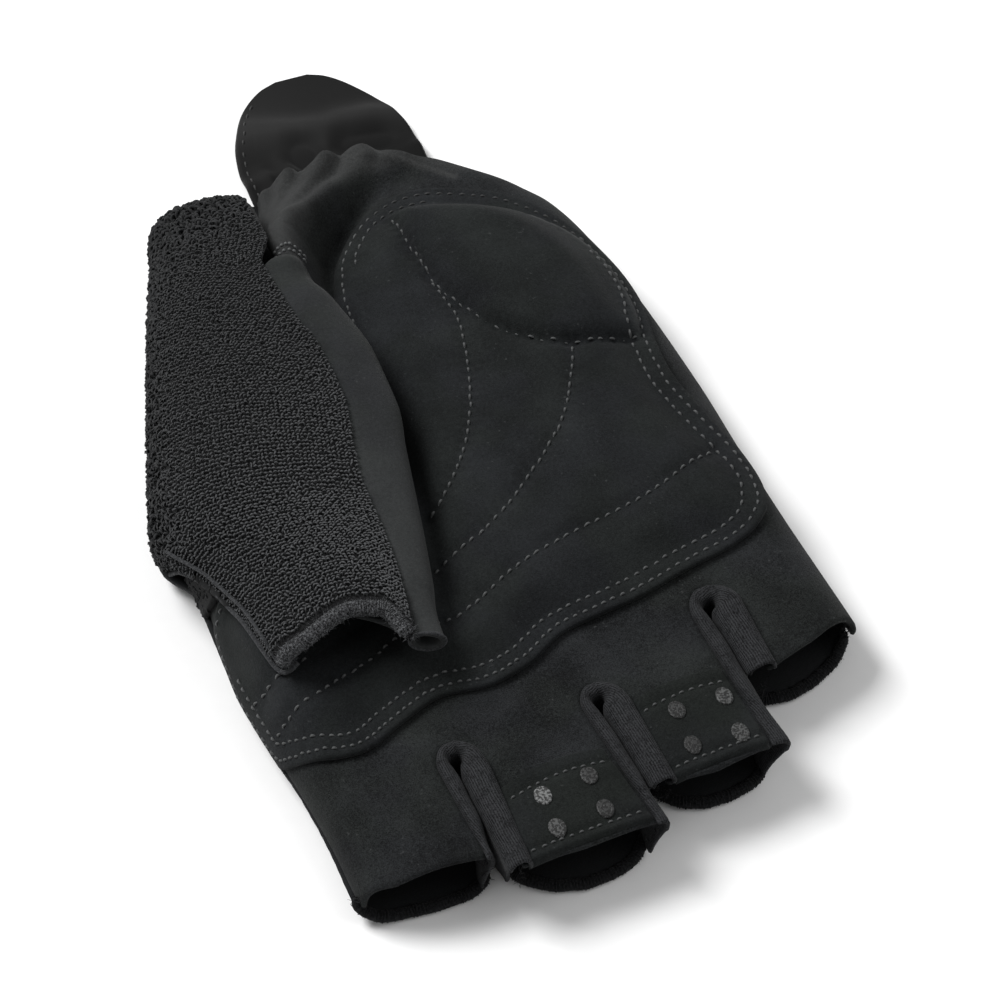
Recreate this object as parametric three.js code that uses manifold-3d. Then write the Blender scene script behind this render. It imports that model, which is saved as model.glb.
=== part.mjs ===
// A half-finger cycling glove for the right hand, lying on its back with the palm up.
// Millimetres, +Z up, fingers towards -Y, wrist towards +Y, thumb on the -X side.
import * as THREE from 'three';
import { mergeVertices } from 'three/addons/utils/BufferGeometryUtils.js';
import Module from 'manifold-3d';

const wasm = await Module();
wasm.setup();

// Cloth thicknesses, and the gap that sewn pieces keep.
const SUEDE = 1.4;
const KNIT = 1.4;
const TERRY = 2.4;
const RIB = 1.1;
const PATCH = 0.9;
const TAB = 1.5;
const GAP = 0.3;

// The middle of the glove's outline on the surface, in the hand's own coordinates.
const ORIGIN = { x: -6.0, y: 21.8 };

// The hand from the fingertips' side (-Y) to the wrist (+Y): the side seams of the palm and of the back,
// the height of the palm there, and the height of the side seams.
const HAND = [
  { y: -80, left: -46.4, right: 52.0, back: -47.2, crown: 12.0, seam: 3.6 },
  { y: -68, left: -49.2, right: 51.2, back: -50.0, crown: 12.4, seam: 3.6 },
  { y: -57, left: -49.9, right: 49.9, back: -50.4, crown: 12.8, seam: 4.0 },
  { y: -45, left: -51.3, right: 48.8, back: -51.5, crown: 13.0, seam: 4.2 },
  { y: -32, left: -53.8, right: 47.4, back: -53.8, crown: 13.4, seam: 4.4 },
  { y: -20, left: -55.1, right: 46.2, back: -55.1, crown: 13.6, seam: 4.4 },
  { y: 2, left: -53.8, right: 44.6, back: -55.2, crown: 13.6, seam: 4.4 },
  { y: 10, left: -51.0, right: 44.2, back: -59.2, crown: 13.4, seam: 4.4 },
  { y: 20, left: -47.5, right: 43.4, back: -57.4, crown: 13.0, seam: 4.4 },
  { y: 40, left: -40.0, right: 41.2, back: -51.0, crown: 12.2, seam: 4.4 },
  { y: 57, left: -33.0, right: 38.0, back: -46.0, crown: 11.6, seam: 4.4 },
  { y: 66, left: -27.0, right: 35.2, back: -42.8, crown: 11.0, seam: 4.2 },
  { y: 73, left: -22.5, right: 31.0, back: -40.0, crown: 10.2, seam: 4.0 },
  { y: 82, left: -18.0, right: 26.2, back: -36.2, crown: 9.4, seam: 3.8 },
  { y: 86, left: -16.6, right: 25.0, back: -31.0, crown: 9.6, seam: 3.6 },
  { y: 92, left: -15.2, right: 23.6, back: -14.0, crown: 9.8, seam: 3.6 },
];
const PALM_SHOULDER = 8.5;
const BACK_SHOULDER = 6;
const SHOULDER_STEPS = 4;

// The folds of the wrist's cloth: each runs along its points, and stands above the palm by the height there, or lies
// below it: the ridge that climbs to the thumb, the hollow beside the palm patch, and the gathers at the elastic.
const FOLDS = [
  { name: 'ridge', spread: 5.2, points: [
    { x: -19, y: 50, height: 0 }, { x: -18.9, y: 58.2, height: 7.6 }, { x: -18.1, y: 69.7, height: 6.6 },
    { x: -12, y: 76.5, height: 3.6 }, { x: -4.5, y: 81.5, height: 1.8 }, { x: 4, y: 86, height: 0 }] },
  { name: 'hollow', spread: 4.6, points: [
    { x: 18, y: 82, height: 0 }, { x: 10.6, y: 82.4, height: -1.0 }, { x: 3.6, y: 79.6, height: -2.2 },
    { x: -4, y: 73.4, height: -3.0 }, { x: -9.4, y: 66, height: -3.0 }, { x: -12.3, y: 58, height: -2.4 },
    { x: -12.5, y: 48, height: 0 }] },
  { name: 'gather_1', spread: 1.8, points: [
    { x: -16.8, y: 90, height: 2.2 }, { x: -16.6, y: 83.6, height: 1.4 }, { x: -18.2, y: 74, height: 0 }] },
  { name: 'gather_2', spread: 2.2, points: [
    { x: -9.2, y: 92, height: 2.6 }, { x: -10.4, y: 86, height: 2.0 }, { x: -16.4, y: 75, height: 0 }] },
  { name: 'gather_3', spread: 2.4, points: [
    { x: -1.4, y: 93, height: 3.0 }, { x: -3, y: 87.4, height: 2.2 }, { x: -11.5, y: 79, height: 0 }] },
  { name: 'gather_4', spread: 2.3, points: [
    { x: 5.6, y: 92, height: 2.8 }, { x: 4.5, y: 87.6, height: 1.7 }, { x: -1, y: 81, height: 0 }] },
  { name: 'gather_5', spread: 2.2, points: [
    { x: 13, y: 91, height: 1.8 }, { x: 12, y: 87, height: 1.0 }, { x: 9, y: 82, height: 0 }] },
];

// The slits between the fingers: the middle of each at its crotch and at its end, the half widths there,
// and where the walls on its left and right finger end.
const SLITS = [
  { name: 'index_middle', x: -26.9, endX: -25.8, crotch: -48.8, half: 3.5, endHalf: 2.5, left: -71.2, right: -75.2 },
  { name: 'middle_ring', x: -0.5, endX: 2.7, crotch: -45.4, half: 3.4, endHalf: 2.4, left: -74.0, right: -67.6 },
  { name: 'ring_little', x: 24.4, endX: 26.6, crotch: -32.8, half: 3.9, endHalf: 2.8, left: -65.8, right: -51.6 },
];
const BACK_SLIT_HALF = 0.9;

// The finger mouths as one line from the index finger to the little finger.
const MOUTHS = [
  [-72, -65.5], [-50, -68.0], [-37, -69.6], [-27.2, -71.4], [-25.4, -75.2], [-13, -75.9], [1.4, -74.2], [3.2, -67.8],
  [13, -68.4], [26.2, -66.0], [27.6, -52.4], [38, -49.0], [48, -44.6], [64, -38],
];
// The same for the back, whose corners at the sides of the fingers are rounder.
const BACK_MOUTHS = [
  [-72, -60], [-54, -65], [-50.2, -69], [-46, -71.2], [-37, -71.9], [-31, -71.6], [-27.6, -70.2], [-25, -68],
  [-22.6, -71.4], [-18, -74.8], [-12, -76.2], [-6, -75.6], [-1.4, -73.6], [0.8, -70.6], [3, -65], [5.4, -63],
  [8.4, -66.4], [12, -67.7], [17, -67.6], [21.8, -66.4], [24.8, -64], [26.6, -57], [28.4, -51.4], [34, -51.6],
  [39, -50.2], [44, -47.6], [48.4, -43.4], [64, -38],
];
const HEM = 1.0;

// How much shorter a finger is at its lower corners than at the palm's edge, by the side of the slit they are on.
const CORNER_SET_BACK = { left: 0.8, right: 3.2 };

// The wrist's mouth on the palm side, from the thumb side round to the little finger's side.
const WRIST = [[-40, 89], [-15.6, 88], [-7, 87.6], [2, 90], [9, 88], [16.6, 83.2], [23.4, 77.2], [31, 71.2], [44, 60]];
const WRIST_BACK_REACH = 2;

// The padded patch on the palm: its outline as four sides that meet at corners.
const PAD_BOTTOM = [[-49.8, -42.4], [-47.8, -44.9], [-44.8, -46.3], [-40, -46], [-33, -42.8], [-25, -39.8], [-16.6, -40.4], [-8.7, -38.4],
  [-1.7, -34.4], [6, -32.8], [13.7, -31.5], [24, -28.6], [33, -26.4], [38.2, -23.8], [41.2, -20.2]];
const PAD_RIGHT = [[41.2, -20.2], [42.4, -14], [41.6, -6], [39.4, 2], [37.2, 12], [37.2, 22], [38.4, 33], [37.8, 42],
  [35.2, 52]];
const PAD_TOP = [[35.2, 52], [31, 60], [24.5, 67.6], [16.6, 72.4], [9.5, 74.6], [2.6, 73.8], [-4, 70], [-9, 63.6]];
const PAD_LEFT = [[-49.8, -42.4], [-51, -39.4], [-52.2, -32], [-53.4, -20], [-51.4, -8], [-42, -3.4], [-31.6, -1.6],
  [-23.6, 4], [-18, 14], [-14.9, 27], [-12.8, 42], [-11.8, 54], [-9, 63.6]];
const PAD = { edge: 1.1, foam: 2.2, heel: 3.0, flat: 4.6, rise: 6 };
const PAD_INSETS = [0, 1, 2.6, 4.8, 8, 12];
const PAD_INNER = 5;
const HEEL = { x: 22, y: 48, wide: 17, long: 22 };

// The thumb from its closed end at the wrist to its open mouth: the left edge, the right fold, the top of the
// arch, the height of the wall underneath, how far the terry turns under at its left edge, and where across the
// half width the terry meets the suede strip.
const THUMB = [
  { leftX: -31, leftY: 85.6, leftZ: 5.2, rightX: -21, rightY: 85.6, rightZ: 5.6, top: 7.4, under: 4, tuck: 1.0, seam: 0.93 },
  { leftX: -35.6, leftY: 84.2, leftZ: 6.8, rightX: -18.8, rightY: 84.2, rightZ: 8.6, top: 12.2, under: 6, tuck: 2.6, seam: 0.93 },
  { leftX: -38.8, leftY: 80.6, leftZ: 8, rightX: -18.4, rightY: 80.2, rightZ: 12, top: 16.2, under: 9, tuck: 3.8, seam: 0.92 },
  { leftX: -41.2, leftY: 74.4, leftZ: 8.8, rightX: -18.4, rightY: 74, rightZ: 15, top: 19.6, under: 12, tuck: 4.4, seam: 0.87 },
  { leftX: -44.4, leftY: 64.8, leftZ: 9.2, rightX: -18.4, rightY: 64.6, rightZ: 17.6, top: 22.8, under: 13.4, tuck: 4.6, seam: 0.74 },
  { leftX: -47.8, leftY: 54.4, leftZ: 9.6, rightX: -14.6, rightY: 54.6, rightZ: 18.6, top: 25.4, under: 13.4, tuck: 4.8, seam: 0.55 },
  { leftX: -51.6, leftY: 42, leftZ: 10, rightX: -14.6, rightY: 42, rightZ: 20, top: 27.6, under: 13.6, tuck: 5.2, seam: 0.555 },
  { leftX: -55.6, leftY: 29, leftZ: 10, rightX: -14.7, rightY: 29, rightZ: 20.8, top: 29, under: 13.8, tuck: 5.2, seam: 0.565 },
  { leftX: -58.9, leftY: 17.5, leftZ: 10, rightX: -15.3, rightY: 17, rightZ: 21.2, top: 29.6, under: 14.2, tuck: 5.2, seam: 0.585 },
  { leftX: -60.8, leftY: 9, leftZ: 10.4, rightX: -16.2, rightY: 7, rightZ: 21.4, top: 29.8, under: 15, tuck: 5.2, seam: 0.6 },
  { leftX: -58.8, leftY: 2.4, leftZ: 13.6, rightX: -17.2, rightY: -3, rightZ: 21.4, top: 29.6, under: 18.4, tuck: 2.2, seam: 0.6 },
  { leftX: -54.6, leftY: -6, leftZ: 16, rightX: -18.6, rightY: -13, rightZ: 21.2, top: 29, under: 20, tuck: 0.6, seam: 0.615 },
  { leftX: -51.6, leftY: -16, leftZ: 17, rightX: -20.4, rightY: -24, rightZ: 21, top: 28.4, under: 20.6, tuck: 0, seam: 0.64 },
  { leftX: -49.8, leftY: -26.4, leftZ: 17.6, rightX: -22.8, rightY: -34.6, rightZ: 20.6, top: 27.6, under: 20.8, tuck: 0, seam: 0.665 },
];
const THUMB_TUCK_ANGLE = 0.46;
const STRIP_START = 5;
const THUMB_BOW = 0.5;
const BINDING = 1.5;

// The terry web below the thumb, from the back's seam up into the hollow: the outer face's lower and upper edges.
const WEB = [
  { lowX: -54.4, lowY: 15, lowZ: 5, highX: -54.2, highY: 14, highZ: 8.6 },
  { lowX: -55.6, lowY: 8.4, lowZ: 5, highX: -55.2, highY: 7.8, highZ: 9.8 },
  { lowX: -55.8, lowY: 4.4, lowZ: 5, highX: -55.0, highY: 3.8, highZ: 10.2 },
  { lowX: -55.6, lowY: 0.8, lowZ: 5, highX: -54.4, highY: -0.6, highZ: 11 },
  { lowX: -55.4, lowY: -3.2, lowZ: 5, highX: -53.8, highY: -4.8, highZ: 11.6 },
];

// Where the thumb leaves the palm, as seen from above.
const THUMB_HOLE = [[-70, 8.5], [-52, 6.5], [-34, 6.5], [-24, 9], [-20, 16], [-19.4, 40], [-20.4, 56.5], [-21, 66],
  [-18.8, 77], [-17, 88], [-40, 95], [-70, 90]];

// The grip patches on the two middle fingers, by their corners, and the raised dots on them.
const GRIPS = [
  { name: 'middle', farLeft: [-21.8, -61.4], farRight: [-3.4, -60.2], nearLeft: [-22.2, -74.9], nearRight: [-0.6, -74.0],
    dots: [[-16.0, -63.9], [-7.7, -63.0], [-16.1, -70.6], [-7.6, -69.8]] },
  { name: 'ring', farLeft: [4.9, -51.4], farRight: [20.9, -51.0], nearLeft: [6.2, -67.4], nearRight: [23.0, -66.4],
    dots: [[10.9, -55.8], [18.3, -55.2], [11.2, -62.4], [18.7, -62.0]] },
];
const DOT = { radius: 1.75, height: 0.55, sides: 12 };

// The pull tab beyond the wrist, by its edges, and where it lies down on the surface.
const PULL = [
  { y: 85, left: -15.0, right: 16.4 },
  { y: 89, left: -16.2, right: 17.6 },
  { y: 97, left: -16.0, right: 17.8 },
  { y: 103.4, left: -15.1, right: 16.3 },
  { y: 109, left: -13.2, right: 14.0 },
  { y: 113, left: -11.2, right: 11.6 },
  { y: 116, left: -8.8, right: 9.4 },
  { y: 118.4, left: -5.8, right: 6.8 },
  { y: 119.7, left: -2.4, right: 4.0 },
];
const PULL_DOWN = { from: 92.8, to: 98.5, wave: 1.3, end: 119 };

const suede = new THREE.MeshStandardMaterial({ color: 0x232626, roughness: 0.92, metalness: 0 });
const knit = new THREE.MeshStandardMaterial({ color: 0x1d1f20, roughness: 0.9, metalness: 0 });
const terryCloth = new THREE.MeshStandardMaterial({ color: 0x262829, roughness: 1, metalness: 0 });
const ribbed = new THREE.MeshStandardMaterial({ color: 0x28292c, roughness: 0.85, metalness: 0 });
const softshell = new THREE.MeshStandardMaterial({ color: 0x2c2c2c, roughness: 0.75, metalness: 0 });
const silicone = new THREE.MeshStandardMaterial({ color: 0x5a5c5c, roughness: 0.5, metalness: 0 });

const mix = (a, b, t) => a + (b - a) * t;
const clamp = (t) => Math.min(1, Math.max(0, t));

// 0 before start, 1 after end, and smooth between.
function step(start, end, t) {
  const s = clamp((t - start) / (end - start));
  return s * s * (3 - 2 * s);
}

// The value of a table's column between its rows, as a smooth curve that never passes its rows' values.
function column(rows, place, key, at) {
  const last = rows.length - 1;
  let i = 0;
  while (i < last - 1 && at > rows[i + 1][place]) i++;
  const slope = (k) => (rows[k + 1][key] - rows[k][key]) / (rows[k + 1][place] - rows[k][place]);
  const tangent = (k) => {
    if (k === 0 || k === last) return slope(Math.min(k, last - 1));
    const [a, b] = [slope(k - 1), slope(k)];
    return a * b <= 0 ? 0 : (2 * a * b) / (a + b);
  };
  const span = rows[i + 1][place] - rows[i][place];
  const t = clamp((at - rows[i][place]) / span);
  const [t2, t3] = [t * t, t * t * t];
  return (2 * t3 - 3 * t2 + 1) * rows[i][key] + (t3 - 2 * t2 + t) * span * tangent(i)
    + (3 * t2 - 2 * t3) * rows[i + 1][key] + (t3 - t2) * span * tangent(i + 1);
}
const hand = (key, y) => column(HAND, 'y', key, y);

// A closed wall between two grids of points, near and far, each (across + 1) by (along + 1).
function wall(near, far, across, along) {
  const positions = [];
  const index = [];
  const rowLength = along + 1;
  for (const grid of [near, far]) {
    for (const p of grid) positions.push(p.x, p.y, p.z);
  }
  const count = (across + 1) * rowLength;
  const id = (layer, i, j) => layer * count + i * rowLength + j;
  const quad = (a, b, c, d) => index.push(a, b, c, a, c, d);
  for (let i = 0; i < across; i++) {
    for (let j = 0; j < along; j++) {
      quad(id(0, i, j), id(0, i + 1, j), id(0, i + 1, j + 1), id(0, i, j + 1));
      quad(id(1, i, j), id(1, i, j + 1), id(1, i + 1, j + 1), id(1, i + 1, j));
    }
  }
  for (let i = 0; i < across; i++) {
    quad(id(0, i, 0), id(1, i, 0), id(1, i + 1, 0), id(0, i + 1, 0));
    quad(id(0, i + 1, along), id(1, i + 1, along), id(1, i, along), id(0, i, along));
  }
  for (let j = 0; j < along; j++) {
    quad(id(0, 0, j + 1), id(1, 0, j + 1), id(1, 0, j), id(0, 0, j));
    quad(id(0, across, j), id(1, across, j), id(1, across, j + 1), id(0, across, j + 1));
  }
  return outward(positions, index);
}

// A geometry whose faces point out, whichever way its grids ran.
function outward(positions, index) {
  let volume = 0;
  const corner = (k) => new THREE.Vector3().fromArray(positions, index[k] * 3);
  for (let k = 0; k < index.length; k += 3) volume += corner(k).dot(corner(k + 1).cross(corner(k + 2)));
  if (volume < 0) {
    for (let k = 0; k < index.length; k += 3) [index[k], index[k + 1]] = [index[k + 1], index[k]];
  }
  const geometry = new THREE.BufferGeometry();
  geometry.setAttribute('position', new THREE.Float32BufferAttribute(positions, 3));
  geometry.setIndex(index);
  geometry.computeVertexNormals();
  return geometry;
}

// A sheet of cloth: face(i, j) is one side of it, and the cloth's thickness lies behind that face,
// where side is 1 or -1 for the direction across i and j in which behind lies. Settle may move a point behind.
function sheet(face, across, along, thickness, side, settle = (p) => p) {
  const near = [];
  for (let i = 0; i <= across; i++) {
    for (let j = 0; j <= along; j++) near.push(face(i, j));
  }
  const at = (i, j) => near[Math.min(across, Math.max(0, i)) * (along + 1) + Math.min(along, Math.max(0, j))];
  const far = [];
  for (let i = 0; i <= across; i++) {
    for (let j = 0; j <= along; j++) {
      const du = at(i + 1, j).clone().sub(at(i - 1, j));
      const dv = at(i, j + 1).clone().sub(at(i, j - 1));
      far.push(settle(at(i, j).clone().addScaledVector(du.cross(dv).normalize(), side * thickness), i, j));
    }
  }
  return wall(near, far, across, along);
}

function solidOf(geometry) {
  const bare = geometry.clone();
  bare.deleteAttribute('normal');
  if (bare.hasAttribute('uv')) bare.deleteAttribute('uv');
  const merged = mergeVertices(bare, 1e-4);
  return new wasm.Manifold(new wasm.Mesh({
    numProp: 3,
    vertProperties: merged.attributes.position.array,
    triVerts: new Uint32Array(merged.index.array),
  }));
}

function geometryOf(solid) {
  const mesh = solid.getMesh();
  const geometry = new THREE.BufferGeometry();
  geometry.setAttribute('position', new THREE.Float32BufferAttribute(mesh.vertProperties, 3));
  geometry.setIndex(new THREE.Uint32BufferAttribute(mesh.triVerts, 1));
  geometry.computeVertexNormals();
  return geometry;
}

// An upright cutter over an outline seen from above, tall enough to pass through the whole glove.
function cutter(points, top = 45) {
  const shape = new THREE.Shape(points.map(([x, y]) => new THREE.Vector2(x, y)));
  const bottom = -15;
  return solidOf(new THREE.ExtrudeGeometry(shape, { depth: top - bottom, bevelEnabled: false }).translate(0, 0, bottom));
}

function cut(geometry, ...cutters) {
  return geometryOf(cutters.reduce((solid, c) => solid.subtract(c), solidOf(geometry)));
}

// A smooth line through points seen from above, as many points as steps + 1.
function smoothLine(points, steps) {
  const curve = new THREE.CatmullRomCurve3(points.map(([x, y]) => new THREE.Vector3(x, y, 0)), false, 'centripetal');
  return curve.getSpacedPoints(steps).map((p) => [p.x, p.y]);
}

// The half width of a slit, and the middle of it, at a place along the fingers.
function slitHalf(slit, y) {
  const depth = slit.crotch - y;
  if (depth <= 0) return 0;
  const round = 1 - Math.min(1, depth / (slit.half * 1.3));
  return Math.sqrt(1 - round * round) * mix(slit.half, slit.endHalf, clamp(depth / (slit.crotch - slit.left)));
}
function slitMiddle(slit, y) {
  return mix(slit.x, slit.endX, clamp((slit.crotch - y) / (slit.crotch - slit.left)));
}

// The outline that a slit takes out of the palm or, with a fixed half width, out of the back.
function slitCutter(slit, half) {
  const steps = 9;
  const beyond = -90;
  const sides = [-1, 1].map((side) => {
    const points = [];
    for (let k = 0; k <= steps; k++) {
      const y = mix(slit.crotch, side < 0 ? slit.left : slit.right, (k / steps) ** 1.7);
      const wide = half === undefined ? slitHalf(slit, y) : Math.min(slitHalf(slit, y), half);
      points.push([slitMiddle(slit, y) + side * wide, y]);
    }
    points.push([points[steps][0], beyond]);
    return points;
  });
  return cutter([...sides[0].reverse(), ...sides[1].slice(1)]);
}

// The nearest place to (x, y) on a line of points: how far away it is, and the height there.
function nearestOn(points, x, y) {
  let best = { away: Infinity, height: 0 };
  for (let k = 1; k < points.length; k++) {
    const [a, b] = [points[k - 1], points[k]];
    const [dx, dy] = [b.x - a.x, b.y - a.y];
    const t = clamp(((x - a.x) * dx + (y - a.y) * dy) / (dx * dx + dy * dy));
    const away = Math.hypot(x - a.x - t * dx, y - a.y - t * dy);
    if (away < best.away) best = { away, height: mix(a.height, b.height, t) };
  }
  return best;
}

// The palm's height before its sides turn down.
function crownHeight(x, y) {
  let folds = 0;
  for (const { spread, points } of FOLDS) {
    const { away, height } = nearestOn(points, x, y);
    folds += height * Math.exp(-((away / spread) ** 2));
  }
  let dip = 0;
  for (const slit of SLITS) {
    const away = Math.abs(x - slitMiddle(slit, y)) / 9;
    dip += 1.3 * step(slit.crotch + 4, slit.crotch - 10, y) * Math.max(0, 1 - away) ** 2;
  }
  return hand('crown', y) + folds - dip;
}

// The outer face of the palm.
function palmHeight(x, y) {
  const side = Math.min(x - hand('left', y), hand('right', y) - x);
  const seam = hand('seam', y);
  const crown = crownHeight(x, y);
  const turn = 1 - clamp(side / PALM_SHOULDER);
  return seam + (crown - seam) * Math.sqrt(1 - turn * turn);
}

// The place across the hand of column i: a few columns round each shoulder, the others evenly between.
function acrossHand(i, inner, left, right, shoulder) {
  const turned = (k) => shoulder * (1 - Math.cos((k / SHOULDER_STEPS) * (Math.PI / 2)));
  if (i <= SHOULDER_STEPS) return left + turned(i);
  if (i >= SHOULDER_STEPS + inner) return right - turned(2 * SHOULDER_STEPS + inner - i);
  return mix(left + shoulder, right - shoulder, (i - SHOULDER_STEPS) / inner);
}

// A point on a table-like outline given as a polyline, by its share of the length.
function along(points, share) {
  const lengths = [0];
  for (let k = 1; k < points.length; k++) {
    lengths.push(lengths[k - 1] + Math.hypot(points[k][0] - points[k - 1][0], points[k][1] - points[k - 1][1]));
  }
  const want = share * lengths[points.length - 1];
  let k = 1;
  while (k < points.length - 1 && lengths[k] < want) k++;
  const t = (want - lengths[k - 1]) / (lengths[k] - lengths[k - 1]);
  return [mix(points[k - 1][0], points[k][0], t), mix(points[k - 1][1], points[k][1], t)];
}

const padSides = {
  bottom: smoothLine(PAD_BOTTOM, 40),
  right: smoothLine(PAD_RIGHT, 30),
  top: smoothLine(PAD_TOP, 30),
  left: smoothLine(PAD_LEFT, 50),
};
const padOutline = [
  ...padSides.bottom, ...padSides.right.slice(1), ...padSides.top.slice(1), ...padSides.left.slice(1, -1).reverse(),
];

// How far inside the patch's outline a place is, or below 0 outside it.
function padInset(x, y) {
  let inside = false;
  let nearest = Infinity;
  for (let k = 0; k < padOutline.length; k++) {
    const [ax, ay] = padOutline[k];
    const [bx, by] = padOutline[(k + 1) % padOutline.length];
    if ((ay > y) !== (by > y) && x < ((bx - ax) * (y - ay)) / (by - ay) + ax) inside = !inside;
    const [dx, dy] = [bx - ax, by - ay];
    const t = clamp(((x - ax) * dx + (y - ay) * dy) / (dx * dx + dy * dy));
    nearest = Math.min(nearest, Math.hypot(x - ax - t * dx, y - ay - t * dy));
  }
  return inside ? nearest : -nearest;
}

// The height of the patch above the palm, without the gap: a flat sewn border, foam inside it, and the heel's bulge.
function padThickness(x, y) {
  const inset = padInset(x, y);
  const foam = PAD.foam * step(PAD.flat - 1.5, PAD.flat + PAD.rise, inset);
  const away = ((x - HEEL.x) / HEEL.wide) ** 2 + ((y - HEEL.y) / HEEL.long) ** 2;
  const heel = PAD.heel * (1 - step(0.35, 1.25, away)) * step(PAD.flat - 2, PAD.flat + PAD.rise, inset);
  return PAD.edge + foam + heel;
}

// The upper face of whatever lies on the palm.
function coveredHeight(x, y) {
  const patch = padInset(x, y) > -0.4 ? GAP + padThickness(x, y) : 0;
  return palmHeight(x, y) + patch;
}

const meshes = [];
function piece(name, geometry, material) {
  const mesh = new THREE.Mesh(geometry, material);
  mesh.name = name;
  meshes.push(mesh);
}

// A line of mouths moved towards the wrist, by more where it runs steeply, so that its sides move as far.
function setBackLine(line, distance) {
  return line.map(([x, y], k) => {
    const [a, b] = [line[Math.max(0, k - 1)], line[Math.min(line.length - 1, k + 1)]];
    const steepest = Math.max(Math.abs((y - a[1]) / (x - a[0] || 1)), Math.abs((b[1] - y) / (b[0] - x || 1)));
    return [x, y + distance * Math.hypot(1, Math.min(1.3, steepest))];
  });
}
const fingerEnds = (line, reach) => cutter([...setBackLine(line, reach), [64, -95], [-72, -95]]);
const wristEnd = (reach) => cutter([...WRIST.map(([x, y]) => [x + reach * 0.6, y + reach]), [60, 120], [-60, 120]]);

const palmRows = [-80, -76, -70, -63, -56, -50, -44, -36, -27, -15, 0, 16, 32, 46, 53, 57, 61, 65, 69, 73, 76.5, 79.5,
  82, 84.5, 87, 89, 92];
const PALM_COLUMNS = 23;
const palmAcross = PALM_COLUMNS + 2 * SHOULDER_STEPS;

// A point of the palm's outer face, by column and row.
function palmFace(i, j) {
  const y = palmRows[j];
  const x = acrossHand(i, PALM_COLUMNS, hand('left', y), hand('right', y), PALM_SHOULDER);
  return new THREE.Vector3(x, y, palmHeight(x, y) + GAP / 2);
}

// The palm side of the hand and of the four fingers, one suede panel with the wrist's gathers.
function palmShell() {
  const settle = (p, i, j) => p.setZ(Math.max(p.z, hand('seam', palmRows[j]) + GAP / 2));
  const panel = sheet(palmFace, palmAcross, palmRows.length - 1, SUEDE, -1, settle);
  const slits = SLITS.map((slit) => slitCutter(slit));
  return cut(panel, fingerEnds(MOUTHS, 0), wristEnd(0), cutter(THUMB_HOLE), ...slits);
}

// Everything up to a height above the palm's outer face, to trim what lies on the palm.
function palmUpTo(height) {
  const [near, far] = [[], []];
  for (let i = 0; i <= palmAcross; i++) {
    for (let j = 0; j < palmRows.length; j++) {
      const p = palmFace(i, j);
      near.push(p.clone().setZ(p.z + height));
      far.push(p.setZ(-5));
    }
  }
  return solidOf(wall(near, far, palmAcross, palmRows.length - 1));
}

// The back of the hand and of the fingers, which lies flat on the surface and turns up to the side seams.
function backShell() {
  const inner = 9;
  const rows = [-80, -68, -45, -20, -4, 4, 10, 16, 30, 45, 60, 70, 78, 83, 87, 90, 94];
  const face = (i, j) => {
    const y = rows[j];
    const [left, right] = [hand('back', y), hand('right', y)];
    const x = acrossHand(i, inner, left, right, BACK_SHOULDER);
    const turn = 1 - clamp(Math.min(x - left, right - x) / BACK_SHOULDER);
    return new THREE.Vector3(x, y, (hand('seam', y) - GAP / 2) * (1 - Math.sqrt(1 - turn * turn)));
  };
  const settle = (p, i, j) => p.setZ(Math.min(p.z, Math.max(KNIT, hand('seam', rows[j]) - GAP / 2)));
  const panel = sheet(face, inner + 2 * SHOULDER_STEPS, rows.length - 1, KNIT, 1, settle);
  const slits = SLITS.map((slit) => slitCutter(slit, BACK_SLIT_HALF));
  return cut(panel, fingerEnds(BACK_MOUTHS, 2 * HEM + 2 * GAP), wristEnd(WRIST_BACK_REACH), ...slits);
}

// The side wall of two neighbouring fingers: rib-knit cloth that puffs up from the palm's edge,
// rolls over into the slit and goes down to the back.
function fourchette(slit) {
  const across = 20;
  const down = 5;
  const roll = 3;
  const face = (i, j) => {
    const u = (2 * i) / across - 1;
    const side = Math.sign(u) || 1;
    const corner = side < 0 ? CORNER_SET_BACK.left : CORNER_SET_BACK.right;
    const setBack = corner * step(0.5, 1, Math.abs(u)) * (Math.max(0, j - roll + 1) / (down - roll + 1)) ** 0.7;
    const reach = slit.crotch - (side < 0 ? slit.left : slit.right) - setBack;
    const y = slit.crotch - GAP - (reach - GAP) * ((u * u) / (0.35 + 0.65 * Math.abs(u)));
    const edgeX = slitMiddle(slit, y) + side * Math.max(0, slitHalf(slit, y) - GAP);
    const inwardY = Math.min(y, slit.crotch - slit.half * 1.3);
    const inwardX = slitMiddle(slit, inwardY);
    const closed = mix(0.5, 0.82, step(0.1, 0.5, Math.abs(u)));
    const top = palmHeight(edgeX, y) + GAP;
    let share;
    let z;
    if (j <= roll) {
      const turn = (j / roll) * (Math.PI / 2);
      share = closed * Math.sin(turn);
      z = top + 0.9 * Math.sin(2 * turn) - 3 * (1 - Math.cos(turn));
    } else {
      const t = (j - roll) / (down - roll);
      share = mix(closed, 0.62, t);
      z = mix(top - 3, KNIT + GAP, t);
    }
    return new THREE.Vector3(mix(edgeX, inwardX, share), mix(y, inwardY, share), z);
  };
  return sheet(face, across, down, RIB, 1);
}

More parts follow.
